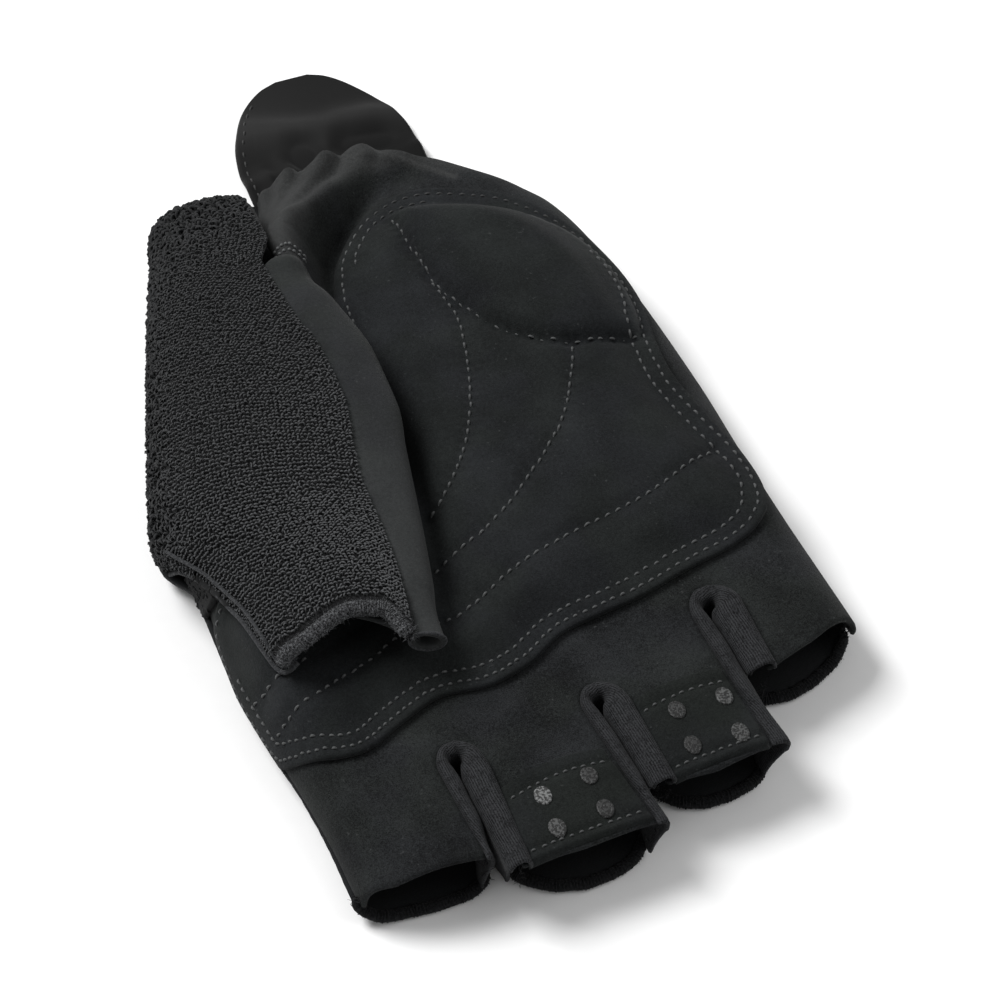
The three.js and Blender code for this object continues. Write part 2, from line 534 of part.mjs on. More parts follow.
// The padded patch: a smooth grid stretched between the four sides of its outline.
function palmPad() {
  const last = 2 * (PAD_INSETS.length - 1) + PAD_INNER;
  // The share of a width at which line k lies: set distances from either edge, and evenly between.
  const share = (k, width) => {
    const edge = PAD_INSETS.length - 1;
    if (k <= edge) return PAD_INSETS[k] / width;
    if (k >= last - edge) return 1 - PAD_INSETS[last - k] / width;
    return mix(PAD_INSETS[edge] / width, 1 - PAD_INSETS[edge] / width, (k - edge) / PAD_INNER);
  };
  const apart = (a, b, t) => {
    const [p, q] = [along(a, t), along(b, t)];
    return Math.hypot(p[0] - q[0], p[1] - q[1]);
  };
  const topLine = [...padSides.top].reverse();
  const place = (u, v) => {
    const [bottom, top] = [along(padSides.bottom, u), along(topLine, u)];
    const [left, right] = [along(padSides.left, v), along(padSides.right, v)];
    const corners = [padSides.bottom[0], padSides.bottom.at(-1), padSides.top.at(-1), padSides.top[0]];
    return [0, 1].map((k) => mix(bottom[k], top[k], v) + mix(left[k], right[k], u)
      - mix(mix(corners[0][k], corners[1][k], u), mix(corners[2][k], corners[3][k], u), v));
  };
  const [near, far] = [[], []];
  for (let i = 0; i <= last; i++) {
    for (let j = 0; j <= last; j++) {
      const u = share(i, apart(padSides.left, padSides.right, j / last));
      const v = share(j, apart(padSides.bottom, topLine, i / last));
      const [x, y] = place(u, v);
      const base = palmHeight(x, y) + GAP / 2 + GAP;
      near.push(new THREE.Vector3(x, y, base + padThickness(x, y)));
      far.push(new THREE.Vector3(x, y, 2));
    }
  }
  return cut(wall(near, far, last, last), palmUpTo(GAP + 0.1));
}

// A point on the thumb: station runs along its rows, and the angle goes round from the left edge over the top
// to the right fold and back underneath.
const THUMB_ROWS = THUMB.map((row, at) => ({ ...row, at }));
function thumbPoint(station, angle, inset = 0) {
  const row = (key) => column(THUMB_ROWS, 'at', key, station);
  const across = (1 - Math.cos(angle)) / 2;
  const lift = Math.abs(Math.sin(angle));
  const base = mix(row('leftZ'), row('rightZ'), across);
  let z;
  if (angle < 0) z = row('leftZ') - (row('tuck') * lift) / Math.sin(THUMB_TUCK_ANGLE);
  else if (angle <= Math.PI) z = base + (row('top') - inset - base) * lift ** 0.85;
  else z = base + (row('under') - base) * lift ** 0.6;
  return new THREE.Vector3(
    mix(row('leftX'), row('rightX'), across), mix(row('leftY'), row('rightY'), across), z);
}
const seamAngle = (station) => Math.PI - Math.acos(column(THUMB_ROWS, 'at', 'seam', station));

// How far the mouth's edge draws back over the thumb's arch, in stations.
function mouthBow(angle) {
  const across = (1 - Math.cos(angle)) / 2;
  return THUMB_BOW * step(0.15, 0.58, across) * (1 - step(0.6, 0.83, across));
}

// Everything that the thumb's walls must clear: the palm and the patch on it.
function clearance() {
  const across = 24;
  const rows = 24;
  const [near, far] = [[], []];
  for (let i = 0; i <= across; i++) {
    for (let j = 0; j <= rows; j++) {
      const y = mix(-60, 90, j / rows);
      const x = mix(hand('left', y), 5, i / across);
      near.push(new THREE.Vector3(x, y, coveredHeight(x, y) + 3 * GAP));
      far.push(new THREE.Vector3(x, y, -5));
    }
  }
  return solidOf(wall(near, far, across, rows));
}

// The terry cloth over the thumb, from the back's seam up the side and over the top to the suede strip.
function thumbTerry() {
  const across = 13;
  const rows = 20;
  const last = THUMB.length - 1;
  const face = (i, j) => {
    const station = (j / rows) * last;
    const start = -THUMB_TUCK_ANGLE * clamp(column(THUMB_ROWS, 'at', 'tuck', station) / 1.5);
    const angle = mix(start, seamAngle(station) - 0.02, i / across);
    return thumbPoint(station - mouthBow(Math.max(0, angle)) * step(last - 3, last, station), angle);
  };
  return sheet(face, across, rows, TERRY, 1);
}

// The suede strip that runs from the terry round the thumb's right fold, and forms its wall underneath.
function thumbStrip(clear) {
  const over = 6;
  const under = 8;
  const rows = 15;
  const last = THUMB.length - 1;
  const face = (i, j) => {
    const station = mix(STRIP_START, last, j / rows);
    if (i <= over) return thumbPoint(station, mix(seamAngle(station) + 0.02, Math.PI, i / over), 0.7);
    const back = 4 * step(0.5, 1, (i - over) / under) * step(last - 1, last, station);
    const p = thumbPoint(station, mix(Math.PI, 2 * Math.PI - 0.74, (i - over) / under));
    return p.setY(p.y + back);
  };
  const panel = sheet(face, over + under, rows, SUEDE, 1);
  return cut(panel, clear, cutter(THUMB_HOLE, 17));
}

// The terry web that closes the thumb's base above the back's edge, trimmed where it meets the palm.
function thumbWeb() {
  const rows = 8;
  const up = 3;
  const face = (i, j) => {
    const at = (j / rows) * (WEB.length - 1);
    const value = (key) => column(WEB.map((row, k) => ({ ...row, k })), 'k', key, at);
    return new THREE.Vector3(mix(value('lowX'), value('highX'), i / up), mix(value('lowY'), value('highY'), i / up),
      mix(value('lowZ'), value('highZ'), i / up));
  };
  return cut(sheet(face, up, rows, TERRY * 0.75, 1), palmUpTo(GAP));
}

// A roll of binding or hem along a smooth line through points.
function roll(points, radius, steps, sides) {
  const round = new THREE.Shape();
  for (let k = 0; k < sides; k++) {
    const turn = (2 * Math.PI * k) / sides;
    const [x, y] = [radius * Math.cos(turn), radius * Math.sin(turn)];
    if (k === 0) round.moveTo(x, y);
    else round.lineTo(x, y);
  }
  const path = new THREE.CatmullRomCurve3(points);
  return new THREE.ExtrudeGeometry(round, { steps, extrudePath: path, bevelEnabled: false });
}

// The binding round the thumb's mouth, from its left corner over the arch to the suede strip.
function thumbBinding() {
  const last = THUMB.length - 1;
  const steps = 14;
  const edge = (t) => {
    const angle = mix(0.1, seamAngle(last), clamp(t));
    return thumbPoint(last - mouthBow(angle), angle, TERRY / 2);
  };
  const points = [];
  for (let k = 0; k <= steps; k++) {
    const p = edge(k / steps);
    const [a, b] = [edge(k / steps - 0.04), edge(k / steps + 0.04)];
    const slant = Math.min(2.0, Math.abs(b.y - a.y) / Math.abs(b.x - a.x));
    points.push(new THREE.Vector3(p.x + mix(1.2, -0.4, k / steps), p.y - (BINDING + 1.4 * GAP) * Math.hypot(1, slant), p.z));
  }
  return roll(points, BINDING, 22, 10);
}

// The hem along a finger's mouth on the back of the glove, from one side of the finger to the other.
function fingerHem(left, right) {
  const points = [];
  const steps = 8;
  const line = setBackLine(BACK_MOUTHS, HEM);
  for (let k = 0; k <= steps; k++) {
    const x = mix(left, right, k / steps);
    const spot = line.findIndex(([mx]) => mx > x);
    const [[ax, ay], [bx, by]] = [line[spot - 1], line[spot]];
    const side = Math.min(x - hand('back', ay), hand('right', ay) - x);
    const turn = 1 - clamp(side / BACK_SHOULDER);
    const lift = hand('seam', ay) * (1 - Math.sqrt(1 - turn * turn));
    points.push(new THREE.Vector3(x, mix(ay, by, (x - ax) / (bx - ax)), 1.04 * HEM + lift));
  }
  return roll(points, HEM, 9, 8);
}

// A grip patch, laid on the finger's palm side.
function gripPatch(grip) {
  const steps = 4;
  const [near, far] = [[], []];
  for (let i = 0; i <= steps; i++) {
    for (let j = 0; j <= steps; j++) {
      const [u, v] = [i / steps, j / steps];
      const [x, y] = [0, 1].map((k) => mix(
        mix(grip.nearLeft[k], grip.nearRight[k], u), mix(grip.farLeft[k], grip.farRight[k], u), v));
      near.push(new THREE.Vector3(x, y, palmHeight(x, y) + GAP / 2 + GAP + PATCH));
      far.push(new THREE.Vector3(x, y, 6));
    }
  }
  return cut(wall(near, far, steps, steps), palmUpTo(GAP));
}

// A raised silicone dot with a soft edge.
function gripDot([x, y]) {
  const { radius, height, sides } = DOT;
  const profile = [[0, 0], [radius, 0], [radius, height * 0.55], [radius * 0.8, height], [0, height]];
  const geometry = new THREE.LatheGeometry(profile.map(([r, z]) => new THREE.Vector2(r, z)), sides);
  const lift = palmHeight(x, y) + GAP / 2 + GAP + PATCH + GAP;
  return geometry.rotateX(Math.PI / 2).translate(x, y, lift);
}

// The round pull tab, which starts inside the wrist's mouth, drops off the back's edge and lies on the surface.
function pullTab() {
  const across = 10;
  const rows = 12;
  const [first, last] = [PULL[0].y, PULL.at(-1).y];
  const face = (i, j) => {
    const y = mix(first, last, 1 - (1 - j / rows) ** 1.5);
    const x = mix(column(PULL, 'y', 'left', y), column(PULL, 'y', 'right', y), i / across);
    const flop = PULL_DOWN.wave * step(94, 104, y) * (1 - step(104, PULL_DOWN.end, y)) * (0.6 + 0.4 * Math.sin(x / 5));
    return new THREE.Vector3(x, y, mix(KNIT + 2 * GAP, 0, step(PULL_DOWN.from, PULL_DOWN.to, y)) + flop);
  };
  return sheet(face, across, rows, TAB, 1);
}

const clear = clearance();
piece('palm_shell', palmShell(), suede);
piece('back_shell', backShell(), knit);
for (const slit of SLITS) piece('fourchette_' + slit.name, fourchette(slit), ribbed);
piece('palm_pad', palmPad(), suede);
piece('thumb_terry', cut(thumbTerry(), clear), terryCloth);
piece('thumb_strip', thumbStrip(clear), suede);
piece('thumb_binding', thumbBinding(), terryCloth);
piece('thumb_web', thumbWeb(), terryCloth);
piece('hem_index', fingerHem(-48.4, -28.4), knit);
piece('hem_middle', fingerHem(-21.8, -1.0), knit);
piece('hem_ring', fingerHem(6.6, 24.2), knit);
piece('hem_little', fingerHem(29.8, 46.2), knit);
for (const grip of GRIPS) {
  piece('grip_patch_' + grip.name, gripPatch(grip), suede);
  grip.dots.forEach((dot, k) => piece(`grip_dot_${grip.name}_${k + 1}`, gripDot(dot), silicone));
}
piece('pull_tab', pullTab(), softshell);

const glove = new THREE.Group();
glove.add(...meshes);
glove.position.set(-ORIGIN.x, -ORIGIN.y, 0);

export default glove;
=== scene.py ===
# %% [markdown]
# # A half-finger cycling glove
# The glove lies on its back with the palm up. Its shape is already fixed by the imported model, so this
# lesson adds what the eye reads as cloth: suede with its nap, towelling with real loops, ribbed jersey,
# stitches and fuzz. Everything is reckoned in millimetres in the hand's own coordinates, and turned
# into metres as a mesh is made. The cells build on each other, so they run in their order.

# %% The frame
import math

import bpy
import numpy as np
from mathutils import Matrix, Vector
from mathutils.geometry import delaunay_2d_cdt


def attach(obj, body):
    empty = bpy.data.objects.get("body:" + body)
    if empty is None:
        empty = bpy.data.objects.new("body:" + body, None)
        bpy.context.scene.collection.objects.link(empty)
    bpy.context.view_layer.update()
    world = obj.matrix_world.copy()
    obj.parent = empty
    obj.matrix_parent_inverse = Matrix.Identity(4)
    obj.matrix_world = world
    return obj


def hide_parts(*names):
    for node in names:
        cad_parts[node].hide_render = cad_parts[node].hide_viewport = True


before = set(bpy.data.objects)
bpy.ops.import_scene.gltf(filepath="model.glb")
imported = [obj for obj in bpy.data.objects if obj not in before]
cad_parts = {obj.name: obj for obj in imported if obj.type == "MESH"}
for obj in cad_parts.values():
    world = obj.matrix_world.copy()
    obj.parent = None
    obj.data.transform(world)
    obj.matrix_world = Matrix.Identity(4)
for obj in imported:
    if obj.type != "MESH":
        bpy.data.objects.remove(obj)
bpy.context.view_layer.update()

# %% [markdown]
# The camera comes first, because it fixes how fine the detail has to be. It stands 0.75 m away, 50
# degrees up and 20 degrees to the thumb's side. Its lens is long, so near and far parts keep their
# sizes. The picture shows about 0.17 mm in a pixel: a stitch with its gap takes a dozen pixels, and a
# fibre less than one.

# %% The camera
MM = 0.001
HAND_ORIGIN = np.array([-6.0, 21.8, 0.0])
CAMERA = {"azimuth": -20.0, "elevation": 50.0, "distance": 0.75, "lens": 155.25, "sensor": 36,
          "look": (0.0060, -0.0218, 0.010)}


def to_metres(points):
    """Hand coordinates in millimetres, as the frame's metres."""
    return (np.asarray(points, float) - HAND_ORIGIN) * MM


def looking_back(azimuth, elevation):
    """The direction from what is looked at to the camera."""
    turn, rise = math.radians(azimuth), math.radians(elevation)
    return Vector((math.sin(turn) * math.cos(rise), -math.cos(turn) * math.cos(rise), math.sin(rise)))


def place_camera():
    back = looking_back(CAMERA["azimuth"], CAMERA["elevation"])
    turn = math.radians(CAMERA["azimuth"])
    right = Vector((math.cos(turn), math.sin(turn), 0))
    lens = bpy.data.cameras.new("camera")
    lens.lens = CAMERA["lens"]
    lens.sensor_width = CAMERA["sensor"]
    camera = bpy.data.objects.new("camera", lens)
    bpy.context.scene.collection.objects.link(camera)
    turned = Matrix((right, back.cross(right), back)).transposed().to_4x4()
    camera.matrix_world = Matrix.Translation(Vector(CAMERA["look"]) + back * CAMERA["distance"]) @ turned
    bpy.context.scene.camera = camera


place_camera()
print("camera at", CAMERA["distance"], "m with a lens of", CAMERA["lens"], "mm")

# %% [markdown]
# Cloth is described by a few tables: a row for each place along the hand, and a column for each edge or
# height. Between the rows a column runs as a smooth curve that never passes its rows' values. A
# sculpted mesh would need thousands of points moved by hand; a table of sixteen rows is enough for a
# hand and easy to correct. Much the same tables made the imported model, so the fine meshes land on its
# solids.

# %% Numbers and tables
rng = np.random.default_rng(7)


def mix(a, b, t):
    return a + (b - a) * t


def ramp(start, end, at):
    """0 before start, 1 after end, and smooth between."""
    t = np.clip((at - start) / (end - start), 0, 1)
    return t * t * (3 - 2 * t)


def table(names, *rows):
    """Named columns; without a column called at, the rows are numbered from 0."""
    columns = dict(zip(names.split(), np.array(rows, float).T))
    columns.setdefault("at", np.arange(len(rows), dtype=float))
    return columns


def column(rows, key, at):
    """A column's value between its rows."""
    place, value = rows["at"], rows[key]
    slope = np.diff(value) / np.diff(place)
    product = slope[:-1] * slope[1:]
    both = np.where(product > 0, slope[:-1] + slope[1:], 1)
    tangent = np.concatenate([slope[:1], np.where(product > 0, 2 * product / both, 0), slope[-1:]])
    at = np.asarray(at, float)
    i = np.clip(np.searchsorted(place, at, side="right") - 1, 0, len(place) - 2)
    span = place[i + 1] - place[i]
    t = np.clip((at - place[i]) / span, 0, 1)
    t2, t3 = t * t, t * t * t
    near = (2 * t3 - 3 * t2 + 1) * value[i] + (t3 - 2 * t2 + t) * span * tangent[i]
    return near + (3 * t2 - 2 * t3) * value[i + 1] + (t3 - t2) * span * tangent[i + 1]


HAND = table(
    "at left right back crown seam",
    (-80, -46.4, 52.0, -47.2, 12.0, 3.6),
    (-68, -49.2, 51.2, -50.0, 12.4, 3.6),
    (-57, -49.9, 49.9, -50.4, 12.8, 4.0),
    (-45, -51.3, 48.8, -51.5, 13.0, 4.2),
    (-32, -53.3, 47.4, -53.8, 13.4, 4.4),
    (-20, -54.6, 46.2, -55.1, 13.6, 4.4),
    (2, -53.8, 44.6, -55.2, 13.6, 4.4),
    (10, -51.0, 44.2, -59.2, 13.4, 4.4),
    (20, -47.5, 43.4, -57.4, 13.0, 4.4),
    (40, -40.0, 41.2, -51.0, 12.2, 4.4),
    (57, -33.0, 38.0, -46.0, 11.6, 4.4),
    (66, -27.0, 35.2, -42.8, 11.0, 4.2),
    (73, -22.5, 31.0, -40.0, 10.2, 4.0),
    (82, -18.0, 26.2, -36.2, 9.4, 3.8),
    (86, -16.6, 25.0, -31.0, 9.6, 3.6),
    (92, -15.2, 23.6, -14.0, 9.8, 3.6),
)
PALM_SHOULDER = 8.5
BACK_SHOULDER = 6.0
GAP = 0.3

# %% [markdown]
# The wrist is drawn in by elastic, so its cloth stands in folds. Each fold is a line with a height
# along it and a spread to either side. One ridge climbs to the thumb, one hollow lies beside the padded
# patch, and short gathers fan out to the edge. A cloth simulation would make folds too, but other ones
# each time; lines put each fold where the photograph shows it.

# %% The wrist's folds
FOLDS = {
    "ridge": (5.2, [(-19, 50, 0), (-18.9, 58.2, 7.6), (-18.1, 69.7, 6.6), (-12, 76.5, 3.6),
                    (-4.5, 81.5, 1.8), (4, 86, 0)]),
    "hollow": (4.6, [(18, 82, 0), (10.6, 82.4, -1.0), (3.6, 79.6, -2.2), (-4, 73.4, -3.0),
                     (-9.4, 66, -3.0),
                     (-12.3, 58, -2.4), (-12.5, 48, 0)]),
    "gather_1": (1.8, [(-16.8, 90, 2.2), (-16.6, 83.6, 1.4), (-18.2, 74, 0)]),
    "gather_2": (2.2, [(-9.2, 92, 2.6), (-10.4, 86, 2.0), (-16.4, 75, 0)]),
    "gather_3": (2.4, [(-1.4, 93, 3.0), (-3, 87.4, 2.2), (-11.5, 79, 0)]),
    "gather_4": (2.3, [(5.6, 92, 2.8), (4.5, 87.6, 1.7), (-1, 81, 0)]),
    "gather_5": (2.2, [(13, 91, 1.8), (12, 87, 1.0), (9, 82, 0)]),
}
CREASES = {
    "crest_1": (2.7, [(9.5, 82.2, 0), (0.6, 81.4, 1.2), (-3.8, 79.9, 1.7), (-8.9, 76.6, 1.9),
                      (-13.7, 72.5, 1.6),
                      (-17.1, 67.2, 0.9), (-18, 62, 0)]),
    "crest_2": (1.2, [(-2.6, 90, 0.7), (-6.3, 83.7, 0.7), (-10.4, 79.3, 0.7), (-15.6, 74.0, 0.4),
                      (-18, 72, 0)]),
    "crest_3": (1.1, [(-9.6, 90, 0.4), (-13.2, 82.4, 0.6), (-17.5, 76.7, 0.2)]),
    "crest_4": (0.9, [(-15.6, 90, 0.5), (-17.9, 80.3, 0.3)]),
    "furrow_1": (1.0, [(1.6, 91, -1.6), (-1.8, 84.7, -1.2), (-6.4, 81.3, -1.1), (-10.1, 77.8, -1.1),
                       (-13.7, 75.5, -0.8),
                       (-17.2, 73.9, 0)]),
    "furrow_2": (0.9, [(-5.9, 91, -1.6), (-9.8, 84.6, -1.1), (-12.9, 81.4, -0.9), (-15.7, 78.3, 0)]),
    "furrow_3": (0.8, [(-12.5, 91, -1.4), (-15.4, 82.8, -0.9), (-17.6, 79, 0)]),
    "furrow_4": (1.1, [(9.4, 91, -0.9), (7.0, 86.6, -0.5), (5, 84.4, 0)]),
    "hem_ridge": (0.7, [(3.0, 87.6, 0.0), (6.5, 87.2, 0.9), (9.2, 86.2, 1.0), (13.5, 82.7, 0.9),
                        (18.8, 76.6, 0.0)]),
    "valley": (2.5, [(13, 81, 0), (6.7, 81.0, -1.1), (2.6, 79.6, -2.2), (-2.0, 76.2, -2.9),
                     (-5.9, 71.4, -3.3),
                     (-9.4, 66.2, -3.4), (-11.4, 60.6, -3.4), (-12.6, 54, -3.2), (-13.0, 45, -3.1),
                     (-13.4, 30, -3.1),
                     (-13.6, 16, -3.0), (-14.2, 3, -2.7), (-15.8, -9, -2.1), (-17.8, -19, -1.3),
                     (-19.5, -31, 0)]),
    "index_round": (4.5, [(-44.5, -48, 0), (-44, -58, -0.8), (-43.4, -68, -1.6), (-43.2, -78, -1.6)]),
}
CUFF = np.array([(-23, 58), (-16.2, 59.3), (-11.8, 68.2), (-7.6, 74.8), (-2.4, 79.4), (3.6, 82.2),
                 (11, 83), (19, 76.4), (26, 76),
                 (20, 86), (8, 95), (-25, 95)])
FINE_FOLD = {"spread": 2.45, "share": 0.85}
SLITS = [
    {"name": "index_middle", "x": -26.9, "end_x": -25.8, "crotch": -48.8, "half": 3.5, "end_half": 2.5,
     "left": -71.2, "right": -75.2},
    {"name": "middle_ring", "x": -0.5, "end_x": 2.7, "crotch": -45.4, "half": 3.4, "end_half": 2.4,
     "left": -74.0, "right": -67.6},
    {"name": "ring_little", "x": 24.4, "end_x": 26.6, "crotch": -32.8, "half": 3.9, "end_half": 2.8,
     "left": -65.8, "right": -51.6},
]
SLIT_ROUND = 1.3
SLIT_DIP = {"deep": 1.3, "wide": 9, "before": 4, "after": 10}

# %% [markdown]
# The palm's outer face is one height for each place across the hand: a crown that falls to the side
# seams like a quarter of an oval, plus the heights of all folds, less a shallow dip between two
# fingers. Everything that lies on the palm asks this one function, so nothing floats or sinks.

# %% The palm's height
def nearest_on(line, x, y):
    """How far each place is from a line, the line's value there, and how far along it that is."""
    line = np.asarray(line, float)
    away = np.full(np.shape(x), np.inf)
    value, along = np.zeros(np.shape(x)), np.zeros(np.shape(x))
    start = 0.0
    for a, b in zip(line[:-1], line[1:]):
        dx, dy = b[0] - a[0], b[1] - a[1]
        length = math.hypot(dx, dy)
        t = np.clip(((x - a[0]) * dx + (y - a[1]) * dy) / length**2, 0, 1)
        here = np.hypot(x - a[0] - t * dx, y - a[1] - t * dy)
        closer = here < away
        away = np.where(closer, here, away)
        value = np.where(closer, mix(a[-1], b[-1], t), value)
        along = np.where(closer, start + t * length, along)
        start += length
    return away, value, along


def slit_half(slit, y):
    """Half the width of a slit between two fingers."""
    depth = np.maximum(slit["crotch"] - y, 0)
    round_end = 1 - np.minimum(1, depth / (slit["half"] * SLIT_ROUND))
    share = np.clip(depth / (slit["crotch"] - slit["left"]), 0, 1)
    return np.sqrt(np.maximum(0, 1 - round_end**2)) * mix(slit["half"], slit["end_half"], share)


def slit_middle(slit, y):
    share = np.clip((slit["crotch"] - y) / (slit["crotch"] - slit["left"]), 0, 1)
    return mix(slit["x"], slit["end_x"], share)


def palm_height(x, y):
    """The outer face of the palm."""
    crown = column(HAND, "crown", y)
    for spread, line in [*FOLDS.values(), *CREASES.values()]:
        away, height, _ = nearest_on(line, x, y)
        share = FINE_FOLD["share"] if spread < FINE_FOLD["spread"] else 1
        crown = crown + height * np.exp(-((away / spread) ** 2)) * share
    for slit in SLITS:
        away = np.abs(x - slit_middle(slit, y)) / SLIT_DIP["wide"]
        begun = ramp(slit["crotch"] + SLIT_DIP["before"], slit["crotch"] - SLIT_DIP["after"], y)
        crown = crown - SLIT_DIP["deep"] * begun * np.maximum(0, 1 - away) ** 2
    side = np.minimum(x - column(HAND, "left", y), column(HAND, "right", y) - x)
    seam = column(HAND, "seam", y)
    turn = 1 - np.clip(side / PALM_SHOULDER, 0, 1)
    return seam + (crown - seam) * np.sqrt(1 - turn * turn) + GAP / 2


print("palm's height at its middle, mm", round(float(palm_height(np.array(0.0), np.array(0.0))), 2))

# %% [markdown]
# A flat pattern piece has a free outline with slits and holes, which a square grid can't follow. So the
# outline is filled with evenly spaced points, joined into triangles, and only then lifted to its
# height. The side seams stand nearly upright, where points seen from above would lie far apart on the
# cloth, so the pattern is unrolled there first, as the real panel is cut.

# %% Patterns: outlines filled with triangles
def spaced(line, spacing, closed=False):
    """The same line with evenly spaced points."""
    line = np.asarray(line, float)
    if closed:
        line = np.vstack([line, line[:1]])
    along = np.concatenate([[0], np.cumsum(np.linalg.norm(np.diff(line, axis=0), axis=1))])
    count = max(2, int(round(along[-1] / spacing)) + 1)
    at = np.linspace(0, along[-1], count)
    found = np.stack([np.interp(at, along, line[:, k]) for k in range(line.shape[1])], axis=1)
    return found[:-1] if closed else found


def smooth_line(points, spacing):
    """A rounded line through points, as a thin strip of wood bends through pins."""
    p = np.asarray(points, float)
    p = np.vstack([2 * p[0] - p[1], p, 2 * p[-1] - p[-2]])
    knots = np.concatenate([[0], np.cumsum(np.sqrt(np.linalg.norm(np.diff(p, axis=0), axis=1)))])
    found = []
    for k in range(1, len(p) - 2):
        t = np.linspace(knots[k], knots[k + 1], 24, endpoint=k == len(p) - 3)[:, None]
        share = lambda first, last: (t - knots[first]) / (knots[last] - knots[first])
        a = [mix(p[k + n - 1], p[k + n], share(k + n - 1, k + n)) for n in range(3)]
        b = [mix(a[n], a[n + 1], share(k + n - 1, k + n + 1)) for n in range(2)]
        found.append(mix(b[0], b[1], share(k, k + 1)))
    return spaced(np.vstack(found), spacing)


def inset(outline, x, y):
    """How far inside a closed outline each place is, below 0 outside it."""
    inside = np.zeros(np.shape(x), bool)
    away = np.full(np.shape(x), np.inf)
    for (ax, ay), (bx, by) in zip(outline, np.roll(outline, -1, axis=0)):
        dx, dy = bx - ax, by - ay
        if ay != by:
            inside ^= ((ay > y) != (by > y)) & (x < dx * (y - ay) / dy + ax)
        t = np.clip(((x - ax) * dx + (y - ay) * dy) / max(dx * dx + dy * dy, 1e-12), 0, 1)
        away = np.minimum(away, np.hypot(x - ax - t * dx, y - ay - t * dy))
    return np.where(inside, away, -away)


ROW_HEIGHT = 0.866
INSIDE_ONLY = 1
SAME_POINT = 1e-7


def fill(outline, spacing):
    """Even triangles inside a closed outline: their corners, and three corner numbers for each."""
    outline = spaced(outline, spacing, closed=True)
    (low_x, low_y), (high_x, high_y) = outline.min(0), outline.max(0)
    ys = np.arange(low_y, high_y, spacing * ROW_HEIGHT)
    xs = np.arange(low_x, high_x, spacing)
    x, y = np.meshgrid(xs, ys)
    x = x + (np.arange(len(ys)) % 2)[:, None] * spacing / 2
    x, y = x.ravel(), y.ravel()
    keep = inset(outline, x, y) > 0.5 * spacing
    points = np.vstack([outline, np.stack([x[keep], y[keep]], axis=1)])
    count = len(outline)
    edges = [(k, (k + 1) % count) for k in range(count)]
    found = delaunay_2d_cdt([Vector(p) for p in points], edges, [], INSIDE_ONLY, SAME_POINT)
    corners = np.array([tuple(v) for v in found[0]])
    triangles = np.array(found[2])
    a, b, c = (corners[triangles[:, k]] for k in range(3))
    area = (b[:, 0] - a[:, 0]) * (c[:, 1] - a[:, 1]) - (b[:, 1] - a[:, 1]) * (c[:, 0] - a[:, 0])
    triangles[area < 0] = triangles[area < 0][:, ::-1]
    return corners, triangles


def unroll(x, left, right, shoulder):
    """The place across the flat pattern of a point x across the hand."""
    quarter = math.pi / 2
    from_left = np.arccos(1 - np.clip((x - left) / shoulder, 0, 1)) - quarter
    from_right = np.arccos(1 - np.clip((right - x) / shoulder, 0, 1)) - quarter
    middle = np.clip(x, left + shoulder, right - shoulder)
    return middle + shoulder * (from_left - from_right)


def roll_up(s, left, right, shoulder):
    """The point x across the hand of a place across the flat pattern."""
    quarter = math.pi / 2
    middle = np.clip(s, left + shoulder, right - shoulder)
    over_left = np.clip((left + shoulder - s) / shoulder, 0, quarter)
    over_right = np.clip((s - right + shoulder) / shoulder, 0, quarter)
    return middle - shoulder * np.sin(over_left) + shoulder * np.sin(over_right)

# %% [markdown]
# Real cloth shows its cut edge, so a sheet is never a single face here. It gets a second face behind
# the first, a thickness away, and a rim between them that bulges slightly. A Solidify modifier would do
# nearly the same, but it gives no say in what the inner face does where two cloths touch.

# %% Makers: sheets
def grid_faces(rows, columns, wrapped=False):
    """Four-cornered faces between the points of a grid, numbered row by row."""
    i, j = np.meshgrid(np.arange(rows - 1), np.arange(columns if wrapped else columns - 1), indexing="ij")
    i, j = i.ravel(), j.ravel()
    k = (j + 1) % columns
    near, far = i * columns, (i + 1) * columns
    return np.stack([near + j, far + j, far + k, near + k], axis=1)


def unit(vectors):
    """The same directions, with length 1."""
    return vectors / np.maximum(np.linalg.norm(vectors, axis=-1, keepdims=True), 1e-12)


def normals(points, faces):
    """The direction that each point's faces look in, on average."""
    first = points[faces[:, 2]] - points[faces[:, 0]]
    last = points[faces[:, -1]] - points[faces[:, 1]]
    look = np.cross(first, last)
    total = np.zeros_like(points)
    for k in range(faces.shape[1]):
        np.add.at(total, faces[:, k], look)
    return unit(total)


def facing(points, faces, axis=2, sign=1):
    """The faces, turned over if they look against an axis."""
    return faces if normals(points, faces)[:, axis].mean() * sign >= 0 else faces[:, ::-1]


def open_edges(faces, count):
    """The edges that only one face uses, in that face's direction."""
    a, b = faces.ravel(), np.roll(faces, -1, axis=1).ravel()
    alone = ~np.isin(a * count + b, b * count + a)
    return a[alone], b[alone]


